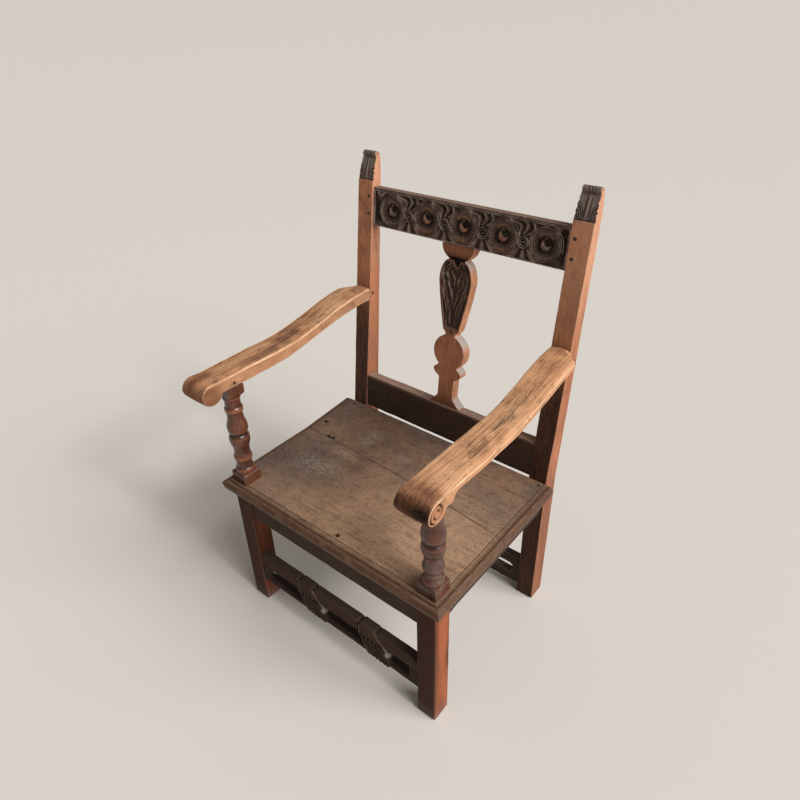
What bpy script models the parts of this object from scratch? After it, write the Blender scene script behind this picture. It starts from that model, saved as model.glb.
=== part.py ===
"""Carved wooden armchair, joined with mortise and tenon, in metres.

The origin is on the floor under the middle of the chair. +X is to the right of someone who faces the
chair, +Y runs from the front to the back, and +Z is up. Left and right in names are that person's.
"""

import math

import bmesh
import bpy
from mathutils import Matrix

for leftover in list(bpy.data.objects):
    bpy.data.objects.remove(leftover, do_unlink=True)
for leftover in list(bpy.data.collections):
    bpy.data.collections.remove(leftover)

# Overall sizes
GAP = 0.0003  # clearance at every fit
FRAME_WIDTH = 0.594  # over the outsides of the posts
FRAME_DEPTH = 0.4255  # front face of the front posts to front face of the back posts
TOTAL_HEIGHT = 1.040

# Front posts
LEG_WIDTH = 0.047
LEG_DEPTH = 0.046
PLINTH_HEIGHT = 0.027  # square part above the seat
CAP_SIZE = 0.042
CAP_HEIGHT = 0.027
SUPPORT_RADIUS = 0.0238  # largest radius of the turning
SUPPORT_TENON = 0.024  # side of the square tenon in the arm

# Back posts
BACK_POST_WIDTH = 0.045
BACK_POST_DEPTH = 0.048  # at the seat and below it
BACK_TOP_DEPTH = 0.029  # at the foot of the finials
BACK_RAKE = math.radians(6.6)  # lean of the front face above the seat
FINIAL_HEIGHT = 0.062
FINIAL_STEP = 0.0015  # how far the carved face is set back at its foot
FINIAL_SWEEP = 0.0125
FINIAL_ROLL = 0.0065
FINIAL_DROP = 0.010  # fall from the roll to the top of the rear face
FINIAL_TAPER = 0.003  # at each side, by the top

# Seat
SEAT_HEIGHT = 0.390
SEAT_THICKNESS = 0.025
SEAT_OVERHANG = 0.020
SEAT_CORNER = 0.012
SEAT_SPREAD = 0.013  # how much the rear board runs out at its left rear corner
FRONT_BOARD_DEPTH = 0.255
JOINT_SKEW = 0.042  # how much further back the joint is at its left end
JOINT_BOW = 0.011
MOULD_WIDTH = 0.0265
MOULD_ROLL = 0.0108
MOULD_QUIRK = 0.0018

# Seat rails
RAIL_THICKNESS = 0.022
FRONT_RAIL_INSET = 0.003
SIDE_RAIL_INSET = 0.006
FRONT_RAIL_HEIGHT = 0.075
SIDE_RAIL_HEIGHT = 0.062

# Back panel, measured up the raked front face from seat level
LOWER_RAIL_BOTTOM = 0.0035
LOWER_RAIL_HEIGHT = 0.090
LOWER_RAIL_THICKNESS = 0.027
LOWER_RAIL_INSET = 0.001
CREST_DROP = 0.0123  # foot of the finials to the top of the rail
CREST_HEIGHT = 0.0885
CREST_THICKNESS = 0.024
CREST_INSET = 0.0033
CREST_SUNK = 0.004
CREST_FILLET = 0.010
CREST_MARGIN = 0.005
PATERA_COUNT = 5
PATERA_MARGIN = 0.0015
PATERA_SHIFT = 0.0035

# Splat: its half widths from the foot up
SPLAT_THICKNESS = 0.026
SPLAT_INSET = 0.003
SPLAT_SHIFT = -0.003
SPLAT_FOOT = 0.046
SPLAT_SHAFT = 0.022
SPLAT_WING = 0.040
SPLAT_NOTCH = 0.0255
SPLAT_DISC = 0.0435
SPLAT_NECK = 0.014
SPLAT_SHOULDER = 0.022
SPLAT_HEART = 0.044
SPLAT_THROAT = 0.019
SPLAT_BELL = 0.043
SPLAT_WING_HEIGHT = 0.034
SPLAT_BELL_HEIGHT = 0.033
SPLAT_TENON = 0.050
DISC_PLACE = 0.357  # middle of the disc, as a share of the splat's length
HEART_PLACE = 0.70  # widest part of the heart, as a share of the heart's height

# Arms
ARM_CLEARANCE = 0.260  # seat to underside over the front posts
ARM_THICKNESS = 0.031
ARM_RISE = 0.0405  # from the front posts to the back
ARM_OVERHANG = 0.0595  # in front of the front posts
ARM_SCROLL_DROP = 0.0185  # scroll below the underside
ARM_WIDTH = 0.0755
ARM_FRONT_WIDTH = 0.0715
ARM_NARROWING = 0.120  # length over which the front narrows
ARM_UNDERCUT = 0.018  # width and height of the slope under the outer edge
ARM_COVE_LENGTH = 0.030
ARM_HOLLOW = 0.003  # of the inner edge
ARM_TENON_WIDTH = 0.018
ARM_TENON_HEIGHT = 0.024
ARM_TENON_LENGTH = 0.024

# Stretchers
STRETCHER_BOTTOM = 0.078
STRETCHER_HEIGHT = 0.085
STRETCHER_THICKNESS = 0.025
STRETCHER_INSET = 0.002
CHANNEL_HEIGHT = 0.036
CHANNEL_DEPTH = 0.006
CHANNEL_MARGIN = 0.026  # from the posts
KNOT_WIDTH = 0.062
KNOT_LEAN = 0.012
KNOT_RAISE = 0.0012
KNOT_DROP = 0.004
KNOT_PLACE = 0.098
REAR_STRETCHER_BOTTOM = 0.018
REAR_STRETCHER_HEIGHT = 0.089
REAR_STRETCHER_THICKNESS = 0.021
REAR_STRETCHER_INSET = 0.008
SLOT_HEIGHT = 0.0335
SLOT_MARGIN = 0.019

# Joints
TENON_THICKNESS = 0.012
TENON_LENGTH = 0.022
TENON_SHOULDER = 0.010
PEG_RADIUS = 0.004
PEG_LENGTH = 0.024
PEG_PROUD = 0.0004
UPPER_PEG_PLACE = 0.75  # as a share of the crest rail's height
LOWER_PEG_PLACE = 0.30  # as a share of the crest rail's height
RAIL_PEG_PLACE = 0.35  # as a share of the lower rail's height
STRETCHER_PEG_PLACE = 0.70  # as a share of the stretcher's height
NAIL_RADIUS = 0.0018
NAIL_HEAD = 0.004
NAIL_HEAD_HEIGHT = 0.0016
NAIL_LENGTH = 0.045
NAIL_INSET = 0.013  # from the seat's rear edge
OVERCUT = 0.010  # how far a cutter reaches past a face
SINK = 0.002  # how far one shape is sunk into the next before they are joined
PEG_SIDES = 12
TURN_STEPS = 24

# Places that follow from the sizes
HALF_WIDTH = FRAME_WIDTH / 2
LEG_INNER = HALF_WIDTH - LEG_WIDTH
POST_INNER = HALF_WIDTH - BACK_POST_WIDTH
FINIAL_FOOT = TOTAL_HEIGHT - FINIAL_HEIGHT
RAKE_SLOPE = math.tan(BACK_RAKE)
REAR_SLOPE = RAKE_SLOPE - (BACK_POST_DEPTH - BACK_TOP_DEPTH) / (FINIAL_FOOT - SEAT_HEIGHT)
REAR_TOP = TOTAL_HEIGHT - FINIAL_DROP
REAR_LEAN = (REAR_TOP - SEAT_HEIGHT) * REAR_SLOPE
FRONT_Y = (ARM_OVERHANG - FRAME_DEPTH - BACK_POST_DEPTH - REAR_LEAN) / 2
BACK_Y = FRONT_Y + FRAME_DEPTH
LEG_X = HALF_WIDTH - LEG_WIDTH / 2
LEG_Y = FRONT_Y + LEG_DEPTH / 2
SEAT_HALF = HALF_WIDTH + SEAT_OVERHANG
SEAT_WIDE = SEAT_HALF + SEAT_SPREAD + OVERCUT
SEAT_FRONT = FRONT_Y - SEAT_OVERHANG
SEAT_BACK = BACK_Y - GAP
SEAT_BOTTOM = SEAT_HEIGHT - SEAT_THICKNESS
RAIL_TOP = SEAT_BOTTOM - GAP
CREST_TOP = (FINIAL_FOOT - SEAT_HEIGHT) / math.cos(BACK_RAKE) - CREST_DROP
CREST_BOTTOM = CREST_TOP - CREST_HEIGHT
SPLAT_BOTTOM = LOWER_RAIL_BOTTOM + LOWER_RAIL_HEIGHT + GAP
SPLAT_TOP = CREST_BOTTOM - GAP
ARM_UNDERSIDE = SEAT_HEIGHT + ARM_CLEARANCE
ARM_SCROLL = (ARM_THICKNESS + ARM_SCROLL_DROP) / 2
SCROLL_Y = FRONT_Y - ARM_OVERHANG + ARM_SCROLL
SCROLL_Z = ARM_UNDERSIDE - ARM_SCROLL_DROP + ARM_SCROLL
CAP_TOP = ARM_UNDERSIDE - GAP
CAP_BOTTOM = CAP_TOP - CAP_HEIGHT
TURN_BOTTOM = SEAT_HEIGHT + PLINTH_HEIGHT

PARTS = bpy.data.collections.new("carved_armchair")
CUTTERS = bpy.data.collections.new("carved_armchair_cutters")
bpy.context.scene.collection.children.link(PARTS)
bpy.context.scene.collection.children.link(CUTTERS)

# How an outline's own x, y and thickness lie in the chair
SIDE = Matrix(((0, 0, 1), (1, 0, 0), (0, 1, 0))).to_4x4()
FRONT = Matrix(((1, 0, 0), (0, 0, -1), (0, 1, 0))).to_4x4()
PLAN = Matrix.Identity(4)
SIDES = ((1, "right"), (-1, "left"))


def finish(name, colour, roughness, metallic=0.0):
    made = bpy.data.materials.new(name)
    made.use_nodes = True
    shader = made.node_tree.nodes["Principled BSDF"]
    shader.inputs["Base Color"].default_value = (*colour, 1.0)
    shader.inputs["Roughness"].default_value = roughness
    shader.inputs["Metallic"].default_value = metallic
    return made


HONEY = finish("honey_wood", (0.42, 0.20, 0.075), 0.45)
BROWN = finish("brown_wood", (0.20, 0.075, 0.032), 0.40)
DARK = finish("dark_wood", (0.045, 0.024, 0.016), 0.40)
TURNED = finish("turned_wood", (0.085, 0.034, 0.022), 0.30)
SEAT = finish("seat_wood", (0.155, 0.095, 0.058), 0.50)
PEG = finish("peg_wood", (0.035, 0.018, 0.011), 0.50)
IRON = finish("nail_iron", (0.10, 0.09, 0.085), 0.55, 0.8)


def added(name, shape, material, parent=None):
    """Links an object for this shape: a part with its material, or a helper without one."""
    mesh = bpy.data.meshes.new(name)
    shape.to_mesh(mesh)
    shape.free()
    made = bpy.data.objects.new(name, mesh)
    made.parent = parent
    if material is None:
        CUTTERS.objects.link(made)
        made.hide_render = True
        made.display_type = "WIRE"
    else:
        PARTS.objects.link(made)
        mesh.materials.append(material)
    return made


def box(name, low, high, material=None, parent=None):
    """A block between two corners, with its origin at its middle."""
    shape = bmesh.new()
    bmesh.ops.create_cube(shape, size=1.0)
    size = [b - a for a, b in zip(low, high)]
    bmesh.ops.scale(shape, vec=size, verts=shape.verts)
    made = added(name, shape, material, parent)
    made.location = [(a + b) / 2 for a, b in zip(low, high)]
    return made


def outline(name, points, low, high, view, material=None, parent=None):
    """A flat outline given thickness from low to high, square to the view it is drawn in."""
    curve = bpy.data.curves.new(name, "CURVE")
    curve.dimensions = "2D"
    curve.fill_mode = "BOTH"
    curve.extrude = (high - low) / 2
    spline = curve.splines.new("POLY")
    spline.points.add(len(points) - 1)
    for target, (across, up) in zip(spline.points, points):
        target.co = (across, up, 0, 1)
    spline.use_cyclic_u = True
    flat = bpy.data.objects.new(name + "_outline", curve)
    CUTTERS.objects.link(flat)
    graph = bpy.context.evaluated_depsgraph_get()
    mesh = bpy.data.meshes.new_from_object(flat.evaluated_get(graph))
    shape = bmesh.new()
    shape.from_mesh(mesh)
    bpy.data.meshes.remove(mesh)
    bpy.data.objects.remove(flat, do_unlink=True)
    bmesh.ops.remove_doubles(shape, verts=shape.verts, dist=0.000001)
    bmesh.ops.recalc_face_normals(shape, faces=shape.faces)
    placed = view @ Matrix.Translation((0, 0, (low + high) / 2))
    bmesh.ops.transform(shape, matrix=placed, verts=shape.verts)
    return added(name, shape, material, parent)


def turned(name, profile, centre, material=None, parent=None):
    """A turned shape from a profile of radius and height, given from the top down."""
    shape = bmesh.new()
    points = [shape.verts.new((radius, 0, height)) for radius, height in profile]
    for upper, lower in zip(points, points[1:]):
        shape.edges.new((upper, lower))
    made = added(name, shape, material, parent)
    made.location = centre
    screw = made.modifiers.new("turning", "SCREW")
    screw.axis = "Z"
    screw.steps = TURN_STEPS
    screw.render_steps = TURN_STEPS
    screw.use_merge_vertices = True
    screw.merge_threshold = 0.00001
    screw.use_smooth_shade = True
    return made


def rod(name, radius, length, centre, axis, material=None, parent=None):
    """A round rod along X or Y, with its origin at its middle."""
    shape = bmesh.new()
    bmesh.ops.create_cone(
        shape,
        cap_ends=True,
        segments=PEG_SIDES,
        radius1=radius,
        radius2=radius,
        depth=length,
    )
    made = added(name, shape, material, parent)
    made.location = centre
    if axis == "X":
        made.rotation_euler.y = math.pi / 2
    else:
        made.rotation_euler.x = math.pi / 2
    return made


def combine(target, tool, operation, solver="EXACT"):
    step = target.modifiers.new(tool.name, "BOOLEAN")
    step.operation = operation
    step.solver = solver
    step.object = tool


def join(target, tool):
    combine(target, tool, "UNION")


def cut(target, tool):
    """Cuts the tool's shape out. Several holes in one face can leave a gap with the exact solver."""
    combine(target, tool, "DIFFERENCE", "MANIFOLD")


def mortise(name, low, high, pieces, parent=None):
    """Cuts the hole that a tenon between these corners fits, with the clearance all round."""
    lower = [value - GAP for value in low]
    upper = [value + GAP for value in high]
    tool = box(name, lower, upper, parent=parent)
    for piece in pieces:
        cut(piece, tool)


def peg(name, face, axis, outward, pieces, parent=None):
    """A peg driven in at a point of a face, and its hole. Outward is the way out of the face."""
    centre = list(face)
    centre["XY".index(axis)] += outward * (PEG_PROUD - PEG_LENGTH / 2)
    rod(name, PEG_RADIUS, PEG_LENGTH, centre, axis, PEG, parent)
    room = GAP / math.cos(math.pi / PEG_SIDES)
    hole = rod(
        name + "_hole",
        PEG_RADIUS + room,
        PEG_LENGTH + 2 * GAP,
        centre,
        axis,
        parent=parent,
    )
    for piece in pieces:
        cut(piece, hole)


def ease(share):
    """A smooth step from 0 to 1."""
    share = min(max(share, 0.0), 1.0)
    return share * share * (3 - 2 * share)


def arc(centre, radius, start, end, steps):
    """Points along an arc, with its angles in degrees."""
    points = []
    for i in range(steps + 1):
        angle = math.radians(start + (end - start) * i / steps)
        across = centre[0] + radius * math.cos(angle)
        up = centre[1] + radius * math.sin(angle)
        points.append((across, up))
    return points


def rail_between(name, inner, low, high, material, parent=None):
    """A rail between two posts, low and high being its depth and height, and its tenons' corners."""
    made = box(
        name,
        (-inner + GAP, low[0], low[1]),
        (inner - GAP, high[0], high[1]),
        material,
        parent,
    )
    middle = (low[0] + high[0]) / 2
    reach = inner + TENON_LENGTH
    corners = (
        (-reach, middle - TENON_THICKNESS / 2, low[1] + TENON_SHOULDER),
        (reach, middle + TENON_THICKNESS / 2, high[1] - TENON_SHOULDER),
    )
    join(made, box(name + "_tenons", *corners, parent=parent))
    return made, corners


# The back leans, so its panel is built square on a frame that is tilted at seat level
BACK_FRAME = bpy.data.objects.new("back_frame", None)
PARTS.objects.link(BACK_FRAME)
BACK_FRAME.location = (0, BACK_Y, SEAT_HEIGHT)
BACK_FRAME.rotation_euler.x = -BACK_RAKE


def back_front(height):
    """Where the back posts' front face is at this height."""
    return BACK_Y + max(height - SEAT_HEIGHT, 0) * RAKE_SLOPE


def back_rear(height):
    return BACK_Y + BACK_POST_DEPTH + max(height - SEAT_HEIGHT, 0) * REAR_SLOPE


def back_post(name, side):
    """Rear leg and raked upright in one timber, with the finial's sweep, roll and taper at the top."""
    roll_z = TOTAL_HEIGHT - FINIAL_ROLL
    roll_y = back_front(roll_z) + FINIAL_STEP + FINIAL_SWEEP + FINIAL_ROLL * 0.4
    points = [(BACK_Y, 0), (BACK_Y, SEAT_HEIGHT), (back_front(FINIAL_FOOT), FINIAL_FOOT)]
    steps = 6
    for i in range(steps + 1):
        share = i / steps
        height = FINIAL_FOOT + share * (roll_z - FINIAL_ROLL * 0.7 - FINIAL_FOOT)
        set_back = FINIAL_STEP + FINIAL_SWEEP * share * share
        points.append((back_front(height) + set_back, height))
    points += arc((roll_y, roll_z), FINIAL_ROLL, 205, 50, 8)
    points += [(back_rear(REAR_TOP), REAR_TOP), (back_rear(0), SEAT_HEIGHT), (back_rear(0), 0)]
    ends = sorted((side * POST_INNER, side * HALF_WIDTH))
    made = outline(name, points, ends[0], ends[1], SIDE, BROWN)
    middle = sum(ends) / 2
    half = BACK_POST_WIDTH / 2
    taper = [(half + OVERCUT, -OVERCUT), (half + OVERCUT, FINIAL_FOOT)]
    for i in range(steps + 1):
        share = i / steps
        inset = GAP + FINIAL_TAPER * share * share
        taper.append((half - inset, FINIAL_FOOT + OVERCUT * 0.1 + share * (FINIAL_HEIGHT - FINIAL_DROP)))
    taper.append((half - 2 * FINIAL_TAPER, TOTAL_HEIGHT + OVERCUT * 0.1))
    shape = [(middle + across, up) for across, up in taper]
    shape += [(middle - across, up) for across, up in reversed(taper)]
    reach = BACK_Y + BACK_POST_DEPTH + REAR_LEAN + OVERCUT
    combine(made, outline(name + "_taper", shape, -reach, OVERCUT - BACK_Y, FRONT), "INTERSECT")
    return made


BACK_POSTS = {side: back_post("back_post_" + word, side) for side, word in SIDES}

# Lower back rail
LOWER_RAIL, lower_tenons = rail_between(
    "lower_back_rail",
    POST_INNER,
    (LOWER_RAIL_INSET, LOWER_RAIL_BOTTOM),
    (LOWER_RAIL_INSET + LOWER_RAIL_THICKNESS, LOWER_RAIL_BOTTOM + LOWER_RAIL_HEIGHT),
    DARK,
    BACK_FRAME,
)
mortise("lower_rail_mortise", *lower_tenons, BACK_POSTS.values(), BACK_FRAME)

# Crest rail, with a sunk field and a row of turned paterae standing in it
CREST, crest_tenons = rail_between(
    "crest_rail",
    POST_INNER,
    (CREST_INSET, CREST_BOTTOM),
    (CREST_INSET + CREST_THICKNESS, CREST_TOP),
    DARK,
    BACK_FRAME,
)
mortise("crest_mortise", *crest_tenons, BACK_POSTS.values(), BACK_FRAME)
FIELD_FLOOR = CREST_INSET + CREST_SUNK
FIELD_HALF = POST_INNER - CREST_MARGIN
FIELD_BOTTOM = CREST_BOTTOM + CREST_MARGIN
FIELD_TOP = CREST_TOP - CREST_FILLET
cut(
    CREST,
    box(
        "crest_field",
        (-FIELD_HALF, CREST_INSET - OVERCUT, FIELD_BOTTOM),
        (FIELD_HALF, FIELD_FLOOR, FIELD_TOP),
        parent=BACK_FRAME,
    ),
)
PATERA_RADIUS = (FIELD_TOP - FIELD_BOTTOM) / 2 - PATERA_MARGIN
PATERA_PITCH = 2 * FIELD_HALF / PATERA_COUNT


def patera(name, across):
    """A ring, a dished face and a boss, turned as one and set upright in the field."""
    rim = CREST_SUNK - GAP
    profile = [(0, rim)]
    for radius, height in ((0.20, 0.85), (0.32, 0.25), (0.72, 0.55), (0.80, 1), (0.95, 1), (1, 0.6)):
        profile.append((PATERA_RADIUS * radius, rim * height))
    profile += [(PATERA_RADIUS, -SINK), (0, -SINK)]
    centre = (across, FIELD_FLOOR, (FIELD_BOTTOM + FIELD_TOP) / 2)
    made = turned(name, profile, centre, parent=BACK_FRAME)
    made.rotation_euler.x = math.pi / 2
    join(CREST, made)


for number in range(PATERA_COUNT):
    place = number - (PATERA_COUNT - 1) / 2
    patera(f"patera_{number + 1}", PATERA_SHIFT + place * PATERA_PITCH)


def splat_side():
    """The splat's right half from the foot up, as half widths and heights."""
    disc_z = SPLAT_BOTTOM + DISC_PLACE * (SPLAT_TOP - SPLAT_BOTTOM)
    notch_angle = math.acos(SPLAT_NOTCH / SPLAT_DISC)
    neck_angle = math.acos(SPLAT_NECK / SPLAT_DISC)
    notch_z = disc_z - SPLAT_DISC * math.sin(notch_angle)
    shoulder_z = disc_z + SPLAT_DISC * math.sin(neck_angle) + SPLAT_NECK
    throat_z = SPLAT_TOP - SPLAT_BELL_HEIGHT
    heart_z = shoulder_z + HEART_PLACE * (throat_z - shoulder_z)
    shaft_z = notch_z - SPLAT_WING_HEIGHT
    flare = SPLAT_FOOT - SPLAT_SHAFT
    points = [(SPLAT_FOOT, SPLAT_BOTTOM), (SPLAT_FOOT - 0.38 * flare, SPLAT_BOTTOM + 0.28 * flare)]
    points += [(SPLAT_SHAFT + 0.12 * flare, SPLAT_BOTTOM + 0.80 * flare)]
    points += [(SPLAT_SHAFT, SPLAT_BOTTOM + 1.05 * flare), (SPLAT_SHAFT, shaft_z)]
    lobe = ((0.65, 0.22), (0.96, 0.42), (1.0, 0.53), (0.86, 0.68), (0.26, 0.94))
    for reach, rise in lobe:
        across = SPLAT_SHAFT + reach * (SPLAT_WING - SPLAT_SHAFT)
        points.append((across, shaft_z + rise * SPLAT_WING_HEIGHT))
    points += arc(
        (0, disc_z),
        SPLAT_DISC,
        -math.degrees(notch_angle),
        math.degrees(neck_angle),
        14,
    )
    points += [(SPLAT_NECK, shoulder_z - 0.5 * SPLAT_NECK), (SPLAT_SHOULDER, shoulder_z)]
    steps = 6
    for i in range(1, steps + 1):
        share = i / steps
        swell = 0.65 * share + 0.35 * math.sin(share * math.pi / 2)
        across = SPLAT_SHOULDER + (SPLAT_HEART - SPLAT_SHOULDER) * swell
        points.append((across, shoulder_z + (heart_z - shoulder_z) * share))
    for i in range(1, steps + 1):
        angle = math.radians(80) * i / steps
        across = SPLAT_THROAT + (SPLAT_HEART - SPLAT_THROAT) * math.cos(angle)
        points.append((across, heart_z + (throat_z - heart_z) * math.sin(angle)))
    start = math.acos(SPLAT_THROAT / SPLAT_BELL)
    for i in range(steps + 1):
        angle = start * (1 - i / steps)
        rise = 1 - math.sin(angle) / math.sin(start)
        points.append((SPLAT_BELL * math.cos(angle), throat_z + SPLAT_BELL_HEIGHT * rise))
    return points


splat_half = splat_side()
SPLAT = outline(
    "back_splat",
    [(SPLAT_SHIFT + across, up) for across, up in splat_half]
    + [(SPLAT_SHIFT - across, up) for across, up in reversed(splat_half)],
    -(SPLAT_INSET + SPLAT_THICKNESS),
    -SPLAT_INSET,
    FRONT,
    BROWN,
    BACK_FRAME,
)
splat_middle = SPLAT_INSET + SPLAT_THICKNESS / 2
for name, rail, low, high in (
    ("splat_foot_tenon", LOWER_RAIL, SPLAT_BOTTOM - TENON_LENGTH, SPLAT_BOTTOM + SINK),
    ("splat_head_tenon", CREST, SPLAT_TOP - SINK, SPLAT_TOP + TENON_LENGTH),
):
    corners = (
        (SPLAT_SHIFT - SPLAT_TENON / 2, splat_middle - TENON_THICKNESS / 2, low),
        (SPLAT_SHIFT + SPLAT_TENON / 2, splat_middle + TENON_THICKNESS / 2, high),
    )
    join(SPLAT, box(name, *corners, parent=BACK_FRAME))
    mortise(name + "_mortise", *corners, (rail,), BACK_FRAME)


def support_profile():
    """The turned support from the cap down to the plinth, as radius and height."""
    collar = [(0.84, 0.998), (0.87, 0.985), (0.84, 0.973), (0.77, 0.964)]
    upper_neck = [(0.75, 0.930), (0.75, 0.872)]
    upper_ring = [(0.80, 0.865), (0.87, 0.855), (0.87, 0.812), (0.80, 0.802), (0.76, 0.792)]
    pear = [(0.755, 0.745), (0.80, 0.705), (0.87, 0.676), (0.945, 0.647), (0.99, 0.617), (1.0, 0.593)]
    pear += [(0.98, 0.565), (0.92, 0.542), (0.83, 0.524)]
    groove = [(0.79, 0.515)]
    bulb = [(0.85, 0.507), (0.94, 0.490), (0.99, 0.466), (1.0, 0.440), (0.98, 0.411)]
    bulb += [(0.92, 0.382), (0.84, 0.358), (0.78, 0.337)]
    lower_neck = [(0.76, 0.300), (0.765, 0.265), (0.80, 0.238)]
    lower_ring = [(0.87, 0.224), (0.90, 0.208), (0.90, 0.180), (0.84, 0.165), (0.78, 0.153)]
    base = [(0.765, 0.120), (0.77, 0.086), (0.82, 0.066), (0.91, 0.055), (0.955, 0.034), (0.94, 0.008)]
    shape = collar + upper_neck + upper_ring + pear + groove + bulb + lower_neck + lower_ring + base
    length = CAP_BOTTOM - TURN_BOTTOM
    neck, foot = shape[0][0], shape[-1][0]
    points = [(0, CAP_BOTTOM + SINK), (neck * SUPPORT_RADIUS, CAP_BOTTOM + SINK)]
    points += [(radius * SUPPORT_RADIUS, TURN_BOTTOM + share * length) for radius, share in shape]
    points += [(foot * SUPPORT_RADIUS, TURN_BOTTOM - SINK), (0, TURN_BOTTOM - SINK)]
    return points


def square_post(side, size, bottom, top):
    """Corners of a square block on the axis of a front post."""
    half = size / 2
    return (
        (side * LEG_X - half, LEG_Y - half, bottom),
        (side * LEG_X + half, LEG_Y + half, top),
    )


def support_tenon(side):
    return square_post(side, SUPPORT_TENON, CAP_TOP - SINK, CAP_TOP + TENON_LENGTH)


def leg_corners(side, bottom, top):
    ends = sorted((side * LEG_INNER, side * HALF_WIDTH))
    return (ends[0], FRONT_Y, bottom), (ends[1], FRONT_Y + LEG_DEPTH, top)


def front_post(name, side):
    """Leg, plinth, turned support and cap in one timber, with a tenon up into the arm."""
    made = box(name, *leg_corners(side, 0, TURN_BOTTOM), TURNED)
    join(made, turned(name + "_turning", support_profile(), (side * LEG_X, LEG_Y, 0)))
    join(made, box(name + "_cap", *square_post(side, CAP_SIZE, CAP_BOTTOM, CAP_TOP)))
    join(made, box(name + "_tenon", *support_tenon(side)))
    return made


FRONT_POSTS = {side: front_post("front_post_" + word, side) for side, word in SIDES}


def along_frame(share):
    """The place at this share of the way from the front posts' face to the back posts' face."""
    return FRONT_Y + share * FRAME_DEPTH


ARM_TOP_RISE = along_frame(0.42), along_frame(1.06)
ARM_BOTTOM_RISE = along_frame(0.33), along_frame(1.06)
ARM_FULL_WIDTH = along_frame(0.22)
ARM_UNDERCUT_START = along_frame(0.035)
ARM_HOLLOW_FRONT = along_frame(0.35), along_frame(0.60)
ARM_HOLLOW_BACK = along_frame(1.0), along_frame(0.75)
ARM_COVE_START = along_frame(1.01)


def between(y, ends):
    """A smooth step from 0 at the first end to 1 at the second."""
    return ease((y - ends[0]) / (ends[1] - ends[0]))


def arm_top(y):
    """Height of the arm's top: level from the scroll past the support, then rising to the back."""
    return ARM_UNDERSIDE + ARM_THICKNESS + ARM_RISE * between(y, ARM_TOP_RISE)


def arm_bottom(y):
    return ARM_UNDERSIDE + ARM_RISE * between(y, ARM_BOTTOM_RISE)


def arm_outer(y):
    """The arm's outer edge: level with the post at the back, wider past a cove, narrower at the scroll."""
    narrow = (ARM_WIDTH - ARM_FRONT_WIDTH) * between(y, (ARM_FULL_WIDTH, ARM_FULL_WIDTH - ARM_NARROWING))
    cove = (ARM_WIDTH - BACK_POST_WIDTH) * between(y, (ARM_COVE_START, ARM_COVE_START + ARM_COVE_LENGTH))
    return POST_INNER + ARM_WIDTH - narrow - cove


def arm_inner(y):
    return POST_INNER + ARM_HOLLOW * between(y, ARM_HOLLOW_FRONT) * between(y, ARM_HOLLOW_BACK)


def sampled(start, end, steps):
    return [start + (end - start) * i / steps for i in range(steps + 1)]


def arm_side():
    """The arm's side view, from the post along the top, round the scroll and back underneath."""
    rear = back_front(ARM_UNDERSIDE + ARM_RISE) - GAP
    points = [(back_front(arm_top(rear)) - GAP, arm_top(rear))]
    points += [(y, arm_top(y)) for y in sampled(ARM_TOP_RISE[1], ARM_TOP_RISE[0], 10)]
    points.append((SCROLL_Y, arm_top(SCROLL_Y)))
    under = math.degrees(math.acos((SCROLL_Z - ARM_UNDERSIDE) / ARM_SCROLL))
    points += arc((SCROLL_Y, SCROLL_Z), ARM_SCROLL, 90, 270 + under, 16)[1:]
    points += [(y, arm_bottom(y)) for y in sampled(ARM_BOTTOM_RISE[0], ARM_BOTTOM_RISE[1], 10)]
    return points + [(rear, arm_bottom(rear))]


def arm_plan(side):
    """The arm's plan, reaching past both ends of the side view."""
    front = FRONT_Y - ARM_OVERHANG - OVERCUT
    back = back_front(ARM_UNDERSIDE + ARM_THICKNESS + ARM_RISE) + OVERCUT
    cove_end = ARM_COVE_START + ARM_COVE_LENGTH
    outer = [front] + sampled(ARM_FULL_WIDTH - ARM_NARROWING, ARM_FULL_WIDTH, 8)
    outer += sampled(ARM_COVE_START, cove_end, 6) + [back]
    inner = [back] + sampled(ARM_HOLLOW_BACK[0], ARM_HOLLOW_BACK[1], 4)
    inner += sampled(ARM_HOLLOW_FRONT[1], ARM_HOLLOW_FRONT[0], 4) + [front]
    points = [(side * arm_outer(y), y) for y in outer]
    return points + [(side * arm_inner(y), y) for y in inner]


def undercut(name, side):
    """A wedge that slopes the arm's outer lower edge away, from behind the scroll to the back."""
    edge = POST_INNER + ARM_WIDTH
    ends = sorted((side * (edge - ARM_UNDERCUT - OVERCUT), side * (edge + OVERCUT)))
    back = back_front(ARM_UNDERSIDE + ARM_THICKNESS + ARM_RISE) + OVERCUT
    low = ARM_UNDERSIDE - ARM_SCROLL_DROP - 2 * OVERCUT
    points = [(y, arm_bottom(y) - OVERCUT) for y in sampled(ARM_UNDERCUT_START, back, 12)]
    made = outline(name, points + [(back, low), (ARM_UNDERCUT_START, low)], ends[0], ends[1], SIDE)
    for vertex in made.data.vertices:
        if abs(vertex.co.x) > edge:
            vertex.co.z += ARM_UNDERCUT + 2 * OVERCUT
    return made


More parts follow.
